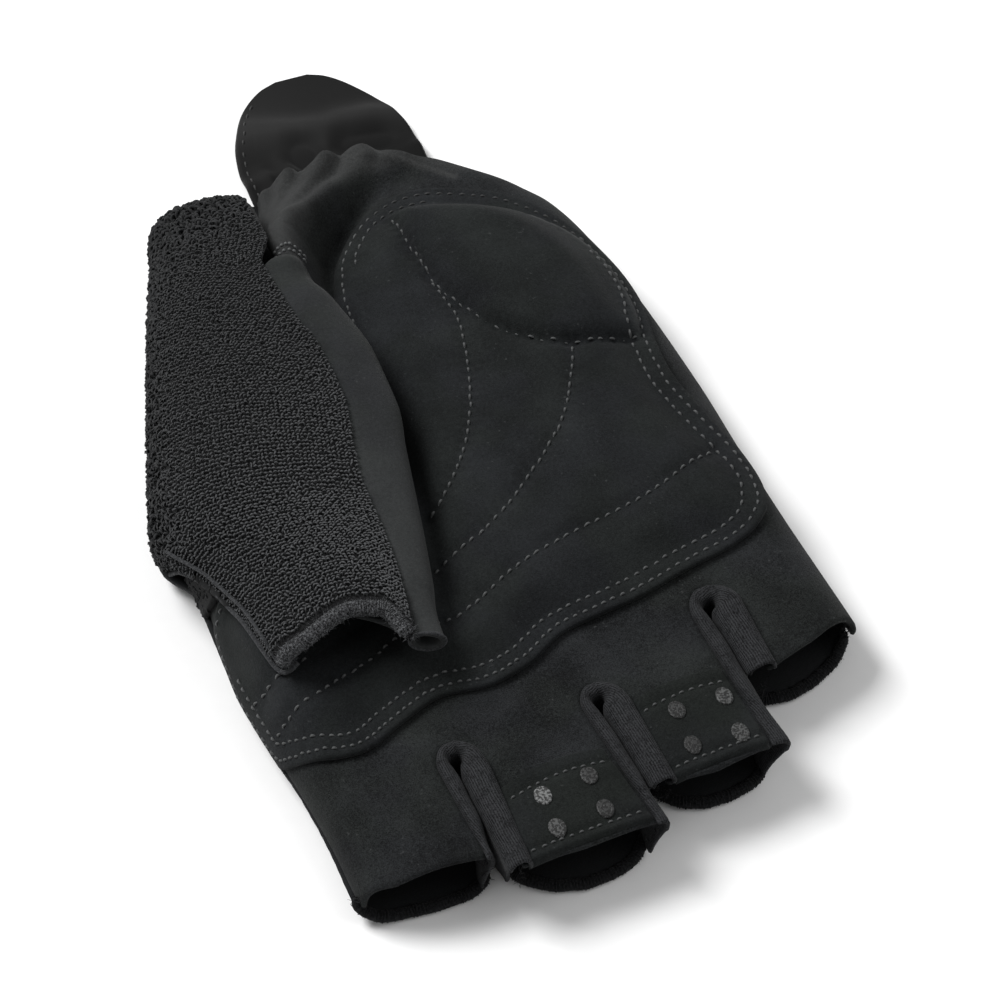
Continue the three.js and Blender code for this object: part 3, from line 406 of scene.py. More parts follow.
def sheet_mesh(points, faces, thickness, rounding=0.3, behind=None):
    """A closed sheet: the outer face is given, the inner one lies a thickness behind or is given too."""
    count = len(points)
    look = normals(points, faces)
    inner = points - look * np.reshape(thickness, (-1, 1)) if behind is None else behind
    a, b = open_edges(faces, count)
    run = points[b] - points[a]
    out = np.cross(unit(run), (look[a] + look[b]) / 2)
    push = np.zeros_like(points)
    np.add.at(push, a, out)
    np.add.at(push, b, out)
    rim = np.unique(np.concatenate([a, b]))
    push = unit(push[rim])
    deep = np.linalg.norm(inner[rim] - points[rim], axis=1, keepdims=True)
    middle = (points[rim] + inner[rim]) / 2 + push * deep * rounding
    number = np.zeros(count, int)
    number[rim] = 2 * count + np.arange(len(rim))
    outer_band = np.stack([b, a, number[a], number[b]], axis=1)
    inner_band = np.stack([number[b], number[a], count + a, count + b], axis=1)
    groups = [faces, faces[:, ::-1] + count, np.vstack([outer_band, inner_band])]
    return np.vstack([points, inner, middle]), groups, rim


def both_faces(values, rim):
    """A sheet's values at its points: the outer face's, the inner face's and the rim's."""
    return np.concatenate([values, values, values[rim]])

# %% [markdown]
# Threads, loops of yarn and rolls are tubes that follow a line. All tubes of a kind go into one mesh
# with a few array steps, instead of an object for each. Every mesh becomes a piece that rides on the
# frame, and values can be held at its points for the finish to read.

# %% Makers: tubes, pieces and areas
def tube_mesh(lines, ups, radius, sides=4):
    """Closed tubes along lines, an array of tubes by points by 3; ups are where each tube's up is."""
    lines = np.asarray(lines, float)
    tubes, rings = lines.shape[:2]
    run = unit(np.gradient(lines, axis=1))
    ups = np.asarray(ups, float)
    ups = np.broadcast_to(ups[:, None] if ups.ndim == 2 else ups, lines.shape)
    side = unit(np.cross(run, ups))
    up = np.cross(side, run)
    radius = np.broadcast_to(radius, (tubes, rings))[:, :, None, None]
    turn = (np.arange(sides) / sides * 2 * math.pi)[None, None, :, None]
    ring = np.cos(turn) * side[:, :, None] + np.sin(turn) * up[:, :, None]
    points = lines[:, :, None] + radius * ring
    first = (np.arange(tubes) * rings * sides)[:, None, None]
    walls = (grid_faces(rings, sides, wrapped=True)[None, :, ::-1] + first).reshape(-1, 4)
    ends = np.arange(sides)[None, None, :] + first
    caps = np.vstack([ends[:, 0, ::-1], (ends + (rings - 1) * sides)[:, 0]])
    return points.reshape(-1, 3), [walls, caps[:, ::-1]]


def joined(*parts):
    """Several meshes as one."""
    points, groups, start = [], [], 0
    for some, faces in parts:
        points.append(some)
        groups += [group + start for group in faces]
        start += len(some)
    return np.vstack(points), groups


def new_piece(name, mesh_parts, finish, node_slot, **values):
    """A Blender object from points in millimetres and groups of faces, riding on the glove."""
    points, groups = mesh_parts
    mesh = bpy.data.meshes.new(name)
    mesh.vertices.add(len(points))
    mesh.vertices.foreach_set("co", to_metres(points).astype(np.float32).ravel())
    corners = np.concatenate([group.ravel() for group in groups])
    sizes = np.concatenate([np.full(len(group), group.shape[1]) for group in groups])
    mesh.loops.add(len(corners))
    mesh.loops.foreach_set("vertex_index", corners.astype(np.int32))
    mesh.polygons.add(len(sizes))
    mesh.polygons.foreach_set("loop_start", (np.cumsum(sizes) - sizes).astype(np.int32))
    mesh.polygons.foreach_set("use_smooth", np.ones(len(sizes), bool))
    for key, value in values.items():
        held = mesh.attributes.new(key, "FLOAT", "POINT")
        held.data.foreach_set("value", np.broadcast_to(value, len(points)).astype(np.float32).copy())
    mesh.update(calc_edges=True)
    mesh.validate()
    mesh.materials.append(finish)
    piece = bpy.data.objects.new(name, mesh)
    bpy.context.scene.collection.objects.link(piece)
    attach(piece, "root")
    print(name, "triangles", int((sizes - 2).sum()))
    return piece


def face_area(points, faces):
    """The area of a face group, in square metres."""
    a, c = points[faces[:, 0]], points[faces[:, 2]]
    b, d = points[faces[:, 1]], points[faces[:, -1]]
    return float(np.linalg.norm(np.cross(c - a, d - b), axis=1).sum() / 2) * MM**2

# %% [markdown]
# Materials are sums of noise, so they are written as sums. A Wire is one socket of a node: adding or
# multiplying wires adds the Math nodes, and a Finish keeps the nodes of one material together. The same
# could be drawn in the node editor, but a sum in a line is easier to read and to tune.

# %% Shader maths
class Wire:
    """A shader socket that can be reckoned with."""

    def __init__(self, finish, socket):
        self.finish = finish
        self.socket = socket

    def maths(self, operation, *terms):
        return self.finish.node("ShaderNodeMath", {"operation": operation}, dict(enumerate(terms)))

    def __add__(self, other):
        return self.maths("ADD", self, other)

    def __sub__(self, other):
        return self.maths("SUBTRACT", self, other)

    def __mul__(self, other):
        return self.maths("MULTIPLY", self, other)

    __radd__ = __add__
    __rmul__ = __mul__

    def sine(self):
        return self.maths("SINE", self)

    def between(self, low, high):
        """0 below low, 1 above high."""
        return self.finish.node("ShaderNodeMapRange", {"interpolation_type": "SMOOTHSTEP"},
                                {"Value": self, "From Min": low, "From Max": high})


class Finish:
    """One material, built node by node."""

    def __init__(self, name):
        self.material = bpy.data.materials.new(name)
        self.material.use_nodes = True
        self.tree = self.material.node_tree
        self.shader = self.tree.nodes["Principled BSDF"]
        metres = self.node("ShaderNodeTexCoord", output="Object")
        self.place = self.node("ShaderNodeVectorMath", {"operation": "SCALE"}, {0: metres, "Scale": 1 / MM})

    def node(self, kind, settings=None, inputs=None, output=0):
        """Any node: its settings are set first, then the values or links of its sockets."""
        made = self.tree.nodes.new(kind)
        for key, value in (settings or {}).items():
            setattr(made, key, value)
        self.connect(made, inputs or {})
        return Wire(self, made.outputs[output])

    def connect(self, node, inputs):
        """Links a node's sockets, or sets them where a plain value is given."""
        for key, value in inputs.items():
            if isinstance(value, Wire):
                self.tree.links.new(value.socket, node.inputs[key])
            else:
                node.inputs[key].default_value = value

    def held(self, name):
        """A number that the mesh holds at its points."""
        return self.node("ShaderNodeAttribute", {"attribute_name": name}, output="Fac")

    def noise(self, size, detail=2.0, roughness=0.5, stretch=None, place=None):
        """Noise whose spots are about size millimetres wide."""
        place = place or self.place
        if stretch:
            place = self.node("ShaderNodeVectorMath", {"operation": "MULTIPLY"}, {0: place, 1: stretch})
        return self.node("ShaderNodeTexNoise", None,
                         {"Vector": place, "Scale": 1 / size, "Detail": detail, "Roughness": roughness})

    def colour(self, share, low, high):
        """A colour between two others."""
        ends = [value if isinstance(value, Wire) else (*value, 1) for value in (low, high)]
        sockets = {0: share, 6: ends[0], 7: ends[1]}
        return self.node("ShaderNodeMix", {"data_type": "RGBA"}, sockets, output=2)

    def finished(self, colour, roughness, height, depth, sheen=0.0, sheen_rough=0.5, specular=0.5):
        """Connects the shader. Height runs from 0 to 1 and stands for depth millimetres."""
        relief = {"Height": height, "Distance": depth * MM, "Strength": 1.0}
        bump = self.node("ShaderNodeBump", None, relief)
        values = {"Base Color": colour, "Roughness": roughness, "Normal": bump, "Sheen Weight": sheen,
                  "Sheen Roughness": sheen_rough, "Sheen Tint": (1, 1, 1, 1),
                  "Specular IOR Level": specular}
        self.connect(self.shader, values)
        return self.material

# %% [markdown]
# Synthetic suede is a dense nap of very fine fibres. It is nearly matt, it brightens a little where it
# is seen edge on, and brushing leaves faint lighter and darker clouds. Lint catches on it as pale
# specks. Fibres as real hair would be finer than a pixel, so noise of three sizes and a little sheen
# do.

# %% Finish: suede
def suede_finish(name, dark, light, sheen, grain_share, low=0.32, high=0.72, marked=None):
    f = Finish(name)
    clouds = f.noise(12.0, 3, 0.55)
    nap = f.noise(0.6, 3, 0.7)
    grain = f.noise(0.2, 2, 0.6)
    tone = clouds * 0.35 + nap * (0.75 - grain_share) + grain * grain_share - 0.05
    share = tone.between(low, high)
    shaded = lambda shade, tint: [value * part for value, part in zip(shade, tint)]
    tinted = lambda tint: f.colour(share, shaded(dark, tint), shaded(light, tint))
    green = tinted((0.985, 1.015, 0.98))
    blue = tinted((1.0, 0.995, 1.05))
    base = f.colour(f.noise(16.0, 2, 0.5).between(0.4, 0.6), green, blue)
    # Painted light: a lighter copy of the suede is mixed in by a value that the mesh holds, as a painted
    # highlight.
    if marked:
        base = f.colour(f.held("marked"), base, f.colour(share, *marked))
    specks = f.noise(0.6, 1, 0.4).between(0.735, 0.76) * f.noise(7.0, 1, 0.5).between(0.5, 0.62)
    base = f.colour(specks * 0.5, base, (0.05, 0.052, 0.052))
    height = nap * 0.5 + grain * 0.5
    return f.finished(base, 0.9 + nap * 0.08, height, 0.16, sheen=sheen, sheen_rough=0.45, specular=0.1)


# The last pair of colours of the pad's, the palm's and the strip's suede is the lighter copy for their
# painted highlights.
SUEDE = suede_finish("pad_suede", (0.0056, 0.0062, 0.0064), (0.0196, 0.0215, 0.0221), 0.035, 0.45,
                     marked=((0.050, 0.053, 0.053), (0.110, 0.115, 0.115)))
PALM_SUEDE = suede_finish("palm_suede", (0.0034, 0.0037, 0.0038), (0.0246, 0.0266, 0.0268), 0.035, 0.5,
                          0.34, 0.68, marked=((0.022, 0.0225, 0.0225), (0.046, 0.047, 0.047)))
# Painted light: the strip's suede is a lighter copy of the pad's, because the raised strip is better lit.
LIT_STRIP_SUEDE = suede_finish("lit_strip_suede", (0.0120, 0.0128, 0.0130), (0.0265, 0.0282, 0.0286), 0.05, 0.4,
                           marked=((0.0210, 0.0222, 0.0224), (0.0385, 0.0408, 0.0411)))
PATCH_SUEDE = suede_finish("grip_patch_suede", (0.0050, 0.0057, 0.0054),
(0.0180, 0.0201, 0.0193), 0.03, 0.45)

# %% [markdown]
# The knitted and woven cloths differ in their small repeats: fine courses on the back, narrow ribs on
# the finger sides, and looped yarn for the thumb and its binding. Each repeat follows millimetres that
# the mesh holds at its points, so that it bends with the cloth; a repeat laid on from above would smear
# on the steep sides.

# %% Finish: knit, ribs, towelling, binding, softshell
FULL_TURN = 2 * math.pi
COURSE = {"wide": 0.62, "high": 0.5}
RIB = {"wide": 0.42, "cord": 0.36}


def knit_finish():
    f = Finish("back_knit")
    across, along = f.held("across"), f.held("along")
    loops = (across * (FULL_TURN / COURSE["wide"])).sine() * (along * (FULL_TURN / COURSE["high"])).sine()
    nap = f.noise(0.4, 3, 0.6)
    tone = (loops * 0.3 + 0.5) * 0.5 + nap * 0.5
    base = f.colour(tone, (0.006, 0.0065, 0.007), (0.017, 0.018, 0.019))
    return f.finished(base, 0.9, tone, 0.12, sheen=0.03, specular=0.12)


def rib_finish():
    f = Finish("finger_side_ribs")
    across, along = f.held("across"), f.held("along")
    wander = f.noise(2.5, 1, 0.4) * 1.2
    ribs = ((across + along * 0.06 + wander * 0.25) * (FULL_TURN / RIB["wide"])).sine() * 0.5 + 0.5
    ribs = ribs * (f.noise(1.5, 2, 0.6).between(0.3, 0.6) * 0.7 + 0.3)
    cords = ((along + across * 0.5) * (FULL_TURN / RIB["cord"])).sine() * 0.5 + 0.5
    fuzz = f.noise(0.26, 2, 0.7)
    tone = ribs * 0.25 + cords * 0.15 + fuzz * 0.85
    base = f.colour(tone.between(0.38, 0.8), (0.0012, 0.0013, 0.0016), (0.031, 0.0322, 0.0345))
    return f.finished(base, 0.82, ribs * 0.4 + cords * 0.2 + fuzz * 0.4, 0.11, sheen=0.03, specular=0.12)


def terry_finish(name, dark, light):
    f = Finish(name)
    tuft = f.noise(1.3, 2, 0.5)
    twist = f.noise(0.22, 2, 0.6)
    # Painted light: the held tip value makes each loop lighter at its top and darker at its feet, and the
    # ground dark, as painted highlight and painted shade.
    tip = f.held("tip")
    tone = tip * 0.8 + tuft * 0.15 + twist * 0.2
    base = f.colour(tone.between(0.05, 1.05) * f.held("bright"), dark, light)
    return f.finished(base, 0.85, twist, 0.08, sheen=0.04, specular=0.15)


def binding_finish(name, dark, light):
    f = Finish(name)
    fuzz = f.noise(0.35, 3, 0.7)
    base = f.colour(fuzz.between(0.38, 0.68), dark, light)
    return f.finished(base, 0.9, fuzz, 0.3, sheen=0.05, specular=0.1)


def softshell_finish():
    f = Finish("tab_softshell")
    weave = f.noise(0.2, 2, 0.5)
    cloud = f.noise(9.0, 2, 0.5)
    base = f.colour(cloud * 0.6 + weave * 0.4, (0.0028, 0.0028, 0.0028), (0.0046, 0.0046, 0.0046))
    # Painted light: a value held by the mesh lightens the tab as a painted highlight.
    base = f.colour(f.held("bright"), base, (0.019, 0.019, 0.019))
    return f.finished(base, 0.72, weave, 0.03, sheen=0.03, specular=0.09)


def thread_finish(name, dark, light):
    f = Finish(name)
    twist = f.noise(0.3, 2, 0.5)
    base = f.colour(f.held("bright"), dark, f.colour(twist, [v * 0.5 for v in light], light))
    return f.finished(base, 0.6, twist, 0.05, sheen=0.03, specular=0.3)


def silicone_finish():
    f = Finish("silicone_print")
    bright = f.held("bright")
    mesh = f.noise(0.42, 1, 0.4).between(0.42, 0.6) * 0.85 + 0.15
    # Painted light: a value held by each dot makes it lighter or darker, as painted highlight and painted
    # shade.
    colour = f.colour(bright * mesh, (0.006, 0.006, 0.006), (0.16, 0.164, 0.163))
    return f.finished(colour, 0.5, mesh, 0.08, specular=0.3)


KNIT = knit_finish()
RIBS = rib_finish()
# The ground's colours are darker than the loops': painted shade between the loops.
TERRY_BASE = terry_finish("terry_ground", (0.004, 0.0042, 0.0044), (0.028, 0.029, 0.03))
TERRY_LOOPS = terry_finish("terry_loops", (0.004, 0.0042, 0.0045), (0.086, 0.0885, 0.092))
BINDING = binding_finish("binding_fuzz", (0.007, 0.0074, 0.008), (0.150, 0.154, 0.161))
HEM_KNIT = binding_finish("hem_overlock", (0.003, 0.0032, 0.0035), (0.016, 0.0165, 0.018))
LIP = binding_finish("lip_cord", (0.022, 0.023, 0.025), (0.058, 0.06, 0.063))
SOFTSHELL = softshell_finish()
THREAD = thread_finish("sewing_thread", (0.006, 0.0064, 0.0064), (0.085, 0.088, 0.089))
TACK_THREAD = thread_finish("tack_thread", (0.05, 0.052, 0.053), (0.12, 0.124, 0.126))
TAB_THREAD = thread_finish("tab_thread", (0.012, 0.012, 0.012), (0.05, 0.05, 0.05))
SILICONE = silicone_finish()

# %% [markdown]
# The palm is one suede panel. Its outline is walked once round: the finger mouths with the slits
# between them, the side seam, the gathered wrist, the edge of the hole that the thumb leaves by, and
# the other side seam. Straight pieces and smooth ones are put together as a pattern cutter would.

# %% The palm panel's outline
MOUTHS = np.array([(-72, -66), (-50, -68.6), (-44, -70.6), (-37, -71.0), (-27.2, -71.4),
                   (-25.4, -75.2), (-13, -75.4), (1.4, -74.2),
                   (3.2, -67.8), (13, -68.4), (26.2, -66.0), (27.6, -52.4), (38, -49.0), (48, -44.6),
                   (64, -38)])
WRIST = np.array([(-40, 89), (-15.6, 88), (-7, 87.6), (2, 90), (9, 88), (16.6, 83.2), (23.4, 77.2),
                  (31, 71.2), (44, 60)])
THUMB_EDGE = [(-17, 88), (-18.8, 77), (-21, 66), (-20.4, 56.5), (-19.4, 40), (-20, 16), (-24, 9),
              (-34, 6.5), (-52, 6.5)]
PALM_CLOTH = {"spacing": 0.85, "thick": 1.0}
CUFF_HIGHLIGHT = {"share": 0.8, "fade": 3.5, "above": 6}
HEM_HIGHLIGHT_WIDE = 0.7


def seam_x(edge, y):
    """Where a side seam runs at y, as a plain number."""
    return float(column(HAND, edge, y))


def meets(edge, line, start):
    """Where a side seam meets a line that crosses the hand, from a first guess."""
    y = start
    for _ in range(8):
        y = float(np.interp(seam_x(edge, y), line[:, 0], line[:, 1]))
    return y


def across_line(line, start, end, count):
    """Even points of a line that crosses the hand, between two values of x."""
    x = np.linspace(start, end, count)
    return np.stack([x, np.interp(x, line[:, 0], line[:, 1])], axis=1)


def slit_wall(slit, side, mouths, half=None, steps=16):
    """One side of a slit, from its crotch to the finger's mouth."""
    end = slit["left"] if side < 0 else slit["right"]
    wide = slit_half(slit, np.array(end)) if half is None else half
    end = float(np.interp(slit_middle(slit, end) + side * wide, mouths[:, 0], mouths[:, 1]))
    y = mix(slit["crotch"], end, (np.arange(steps + 1) / steps) ** 1.7)
    wide = slit_half(slit, y) if half is None else np.minimum(slit_half(slit, y), half)
    return np.stack([slit_middle(slit, y) + side * wide, y], axis=1)


def fingers_outline(mouths, left_x, right_x, half=None):
    """The mouths and slits, from the left side seam to the right one."""
    parts, start = [], left_x
    for slit in SLITS:
        left, right = slit_wall(slit, -1, mouths, half), slit_wall(slit, 1, mouths, half)
        parts += [across_line(mouths, start, left[-1, 0], 40)[:-1], left[::-1], right[1:]]
        start = right[-1, 0]
    parts.append(across_line(mouths, start, right_x, 40)[1:])
    return np.vstack(parts)


def seam_line(edge, start, end):
    y = np.linspace(start, end, 80)
    return np.stack([column(HAND, edge, y), y], axis=1)


def palm_outline():
    low_left, low_right = meets("left", MOUTHS, -66), meets("right", MOUTHS, -44)
    high_right = meets("right", WRIST, 72)
    fingers = fingers_outline(MOUTHS, seam_x("left", low_left), seam_x("right", low_right))
    right_side = seam_line("right", low_right, high_right)[1:-1]
    wrist = across_line(WRIST, seam_x("right", high_right), THUMB_EDGE[0][0], 60)[:-1]
    thumb_hole = spaced(THUMB_EDGE, 1.0)[:-1]
    left_side = seam_line("left", THUMB_EDGE[-1][1], low_left)[:-1]
    return np.vstack([fingers, right_side, wrist, thumb_hole, left_side])

# %% [markdown]
# The panel is cut flat and rolled up round both side seams. The high part of the cuff and the ridge
# along its hem get a painted highlight, where their folds face the light: the mesh holds how much
# highlight each point gets, growing from the cuff's border inwards, and the hollows get none.

# %% The palm panel
def panel(outline, left_edge, right_edge, shoulder, spacing):
    """The pattern inside an outline, filled and rolled up: x, y, triangles, and places across it flat."""
    x, y = outline.T
    left, right = column(HAND, left_edge, y), column(HAND, right_edge, y)
    flat = np.stack([unroll(np.clip(x, left, right), left, right, shoulder), y], axis=1)
    corners, triangles = fill(flat, spacing)
    y = corners[:, 1]
    x = roll_up(corners[:, 0], column(HAND, left_edge, y), column(HAND, right_edge, y), shoulder)
    return x, y, triangles, corners[:, 0]


def make_palm():
    x, y, triangles, _ = panel(palm_outline(), "left", "right", PALM_SHOULDER, PALM_CLOTH["spacing"])
    points = np.stack([x, y, palm_height(x, y)], axis=1)
    lowest = column(HAND, "seam", y) + GAP / 2
    inner = points - normals(points, triangles) * PALM_CLOTH["thick"]
    inner[:, 2] = np.maximum(inner[:, 2], lowest)
    mesh, groups, _ = sheet_mesh(points, triangles, PALM_CLOTH["thick"], behind=inner)
    x, y, z = mesh.T
    # Painted highlight on the cuff's raised folds and along the hem's ridge, none in the hollows.
    cuff = CUFF_HIGHLIGHT["share"] * ramp(0, CUFF_HIGHLIGHT["fade"], inset(CUFF, x, y))
    cuff = cuff * (z > CUFF_HIGHLIGHT["above"])
    away, _, _ = nearest_on(CREASES["hem_ridge"][1], x, y)
    cuff = np.maximum(cuff, np.exp(-((away / HEM_HIGHLIGHT_WIDE) ** 2)))
    piece = new_piece("palm_suede", (mesh, groups), PALM_SUEDE, "suede", marked=cuff)
    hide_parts("palm_shell")
    area = face_area(points, triangles)
    print("palm panel, square metres", round(area, 5))


make_palm()

# %% [markdown]
# The back of the hand lies flat on the surface and turns up to the side seams. It is hidden in the
# photograph, so it is finished as a plain stretch knit, cut to the same outline but a hem's width
# shorter at the fingers. Its grid is coarser, since it is hardly seen.

# %% The back of the glove
BACK_MOUTHS = np.array([
    (-72, -60), (-54, -65), (-50.2, -69), (-46, -71.2), (-37, -71.9), (-31, -71.6), (-27.6, -70.2),
    (-25, -68),
    (-22.6, -71.4), (-18, -74.8), (-12, -76.2), (-6, -75.6), (-1.4, -73.6), (0.8, -70.6), (3, -65),
    (5.4, -63),
    (8.4, -66.4), (12, -67.7), (17, -67.6), (21.8, -66.4), (24.8, -64), (26.6, -57), (28.4, -51.4),
    (34, -51.6),
    (39, -50.2), (44, -47.6), (48.4, -43.4), (64, -38)])
HEM = 1.0
BACK_SLIT_HALF = 0.9
WRIST_BACK_SHIFT = np.array([0.6, 1.0]) * 2.0
BACK_CLOTH = {"spacing": 1.5, "thick": 1.3}
STEEPEST = 1.3


def set_back(line, distance):
    """A line of mouths moved towards the wrist, by more where it runs steeply."""
    slope = np.abs(np.gradient(line[:, 1], line[:, 0]))
    moved = line[:, 1] + distance * np.hypot(1, np.minimum(STEEPEST, slope))
    return np.stack([line[:, 0], moved], axis=1)


def turned_up(x, y):
    """0 where the back lies flat, rising to 1 at its side seams."""
    side = np.minimum(x - column(HAND, "back", y), column(HAND, "right", y) - x)
    turn = 1 - np.clip(side / BACK_SHOULDER, 0, 1)
    return 1 - np.sqrt(1 - turn * turn)


def back_height(x, y):
    """The lower face of the back."""
    return (column(HAND, "seam", y) - GAP / 2) * turned_up(x, y)


def make_back():
    mouths = set_back(BACK_MOUTHS, 2 * HEM - 0.3)
    wrist = WRIST + WRIST_BACK_SHIFT
    low_left, low_right = meets("back", mouths, -62), meets("right", mouths, -42)
    high_left, high_right = meets("back", wrist, 88), meets("right", wrist, 74)
    ends = seam_x("back", low_left), seam_x("right", low_right)
    fingers = fingers_outline(mouths, *ends, BACK_SLIT_HALF)
    right_side = seam_line("right", low_right, high_right)[1:-1]
    edge = across_line(wrist, seam_x("right", high_right), seam_x("back", high_left), 70)
    left_side = seam_line("back", high_left, low_left)[1:-1]
    outline = np.vstack([fingers, right_side, edge, left_side])
    x, y, triangles, flat = panel(outline, "back", "right", BACK_SHOULDER, BACK_CLOTH["spacing"])
    triangles = triangles[:, ::-1]
    points = np.stack([x, y, back_height(x, y)], axis=1)
    thick = BACK_CLOTH["thick"]
    inner = points - normals(points, triangles) * thick
    inner[:, 2] = np.minimum(inner[:, 2], np.maximum(thick, column(HAND, "seam", y) - GAP / 2))
    mesh, groups, rim = sheet_mesh(points, triangles, thick, behind=inner)
    piece = new_piece("back_knit", (mesh, groups), KNIT, "stretch_knit",
                      across=both_faces(flat, rim), along=mesh[:, 1])
    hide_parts("back_shell")
    face_area(points, triangles)


make_back()

# %% [markdown]
# The padded patch is sewn on flat before the glove is closed. Its outline, the crown under the heel of
# the hand and the sewn channels are smooth lines through a few points read from the photograph. The
# whole patch bends round the palm's left edge, so the lines are unrolled before they are used, and
# distances along them are the cloth's own.

# %% The padded patch: its lines
PAD_SIDES = {
    "bottom": [(-49.8, -40.8), (-47.8, -43.6), (-44.8, -45.7), (-40, -46), (-33, -42.8),
               (-25, -39.8), (-16.6, -40.4),
               (-8.7, -38.4), (-1.7, -34.4), (6, -32.8), (13.7, -31.5), (24, -28.6), (33, -26.4),
               (38.2, -23.8),
               (41.2, -20.2)],
    "right": [(41.2, -20.2), (42.4, -14), (41.6, -6), (39.4, 2), (37.2, 12), (37.2, 22), (38.4, 33),
              (37.8, 42), (35.2, 52)],
    "top": [(35.2, 52), (31, 60), (24.5, 67.6), (16.6, 72.4), (9.5, 74.6), (2.6, 73.8), (-4, 70),
            (-9, 63.6)],
    "left": [(-9, 63.6), (-11.8, 54), (-12.8, 42), (-14.9, 27), (-18, 14), (-23.6, 4), (-31.6, -1.6),
             (-42, -3.0),
             (-51.2, -6.2), (-53.4, -20), (-52.2, -32), (-51, -38.2), (-49.8, -40.8)],
}
PAD = {"least": 0.35, "edge": 1.1, "foam": 2.2, "heel": 3.3, "heel_reach": 8.5, "flat": 4.6, "rise": 6.0}
CHANNEL_PULL = {"depth": 0.75, "wide": 1.5}
BORDER_PULL = {"depth": 0.28, "wide": 0.8}
PAD_CLOTH = {"spacing": 0.72, "thick": 1.0, "rim": 0.22}
# Where the heel crown's painted highlight lies: how far inwards from the crown line, how wide, and how
# strong.
CROWN_HIGHLIGHT = {"inwards": 0.5, "wide": 0.4, "share": 0.8}
CHANNELS = {
    "heel": [(3.1, 67.2), (3.8, 58.1), (4.7, 49.9), (6.9, 42.5), (10.7, 34.7), (16.2, 28.9),
             (22.9, 25.4), (29.6, 24),
             (35.4, 24.2)],
    "life": [(4.4, 49), (5.8, 39.4), (3.5, 26.2), (0.7, 17.2), (-3.3, 8.8), (-10.3, -0.7), (-14.3, -4)],
    "head": [(22.6, 24.6), (19.8, 17.8), (13.9, 7.5), (5, -1.5), (-5.3, -9.7), (-16.3, -15.1),
             (-24, -18.4)],
    "heart": [(37.1, -6.2), (29.7, -9.6), (20.8, -13.2), (12.8, -15.1), (4.8, -16.9), (-3.6, -19.7),
              (-16.8, -26.4),
              (-28.3, -27.7), (-34.2, -30.5), (-41.4, -33.0), (-46.2, -34.4), (-49.6, -35.0),
              (-51.9, -35.2)],
    "short": [(-26, -19.4), (-36, -24.4), (-44, -26.6), (-49.8, -27.8), (-52.6, -27.4), (-53.3, -27.1)],
}
HEEL_CROWN = [(2.9, 68.8), (9.0, 67.4), (19.2, 64.2), (26.2, 60.6), (31.6, 54), (35.2, 45),
              (36.4, 36.8), (36.3, 28.4),
              (35.4, 24.2)]
STITCH = 2.1
BORDER_ROWS = (1.5, 3.9)
WRAP = 4.9


def flatten(line):
    """A line on the palm, in the flat pattern's coordinates."""
    x, y = line[:, 0], line[:, 1]
    left, right = column(HAND, "left", y), column(HAND, "right", y)
    return np.stack([unroll(np.clip(x, left, right), left, right, PALM_SHOULDER), y], axis=1)


def wrapped(outline):
    """The patch's outline drawn on round the thumb's side of the palm, down to the seam."""
    x, y = outline[:, 0], outline[:, 1]
    shift = WRAP * ramp(-3, -8, y) * ramp(-46, -37.5, y) * ramp(-44, -50, x)
    return np.stack([x - shift, y], axis=1)


PAD_OUTLINE = np.vstack([smooth_line(side, 1.0)[:-1] for side in PAD_SIDES.values()])
PAD_OUTLINE = spaced(wrapped(flatten(PAD_OUTLINE)), 1.0, closed=True)
CHANNEL_LINES = {name: flatten(smooth_line(points, 0.8)) for name, points in CHANNELS.items()}
HEEL_OUTLINE = np.vstack([flatten(smooth_line(HEEL_CROWN, 1.0))[:-1], CHANNEL_LINES["heel"][::-1][:-1]])


def offset_line(outline, distance):
    """A closed outline moved inwards."""
    run = np.roll(outline, -1, axis=0) - np.roll(outline, 1, axis=0)
    run = unit(run)
    return outline + np.stack([-run[:, 1], run[:, 0]], axis=1) * distance


BORDER_LINES = [spaced(offset_line(PAD_OUTLINE, row), 0.8, closed=True) for row in BORDER_ROWS]

# %% [markdown]
# The patch is the largest soft form: a flat sewn border, foam that swells inside it, a firmer crown,
# and channels that pull the suede down. Its swell is one number for each place, so a channel is simply
# subtracted where its line runs, a little deeper under each stitch's ends. Cloth dropped on modelled
# foam would be another way, but the puckers would hardly fall where the photograph has them.

# %% The padded patch: its height
def pucker(line, x, y, depth, wide):
    """How far a stitch line pulls the cloth down, more under each stitch's ends."""
    away, _, along = nearest_on(line, x, y)
    beat = 0.75 + 0.25 * np.cos(2 * math.pi * along / STITCH)
    return depth * beat * np.exp(-((away / wide) ** 2))


def pad_swell(s, y):
    """The padded patch's height above the palm, by its place in the flat pattern."""
    inside = inset(PAD_OUTLINE, s, y)
    left = s - column(HAND, "left", y) - PALM_SHOULDER
    foam = PAD["foam"] * ramp(PAD["flat"] - 1.2, PAD["flat"] + PAD["rise"], inside) * ramp(-9, -1, left)
    swell = mix(PAD["least"], PAD["edge"], ramp(-10, -3, left)) + foam
    heel = np.clip(inset(HEEL_OUTLINE, s, y) / PAD["heel_reach"], 0, 1)
    swell = swell + PAD["heel"] * np.sqrt(1 - (1 - heel) ** 2) ** 0.95
    for line in CHANNEL_LINES.values():
        swell = swell - pucker(line, s, y, **CHANNEL_PULL)
    for line in BORDER_LINES:
        swell = swell - pucker(np.vstack([line, line[:1]]), s, y, **BORDER_PULL)
    return np.maximum(swell, PAD["least"])


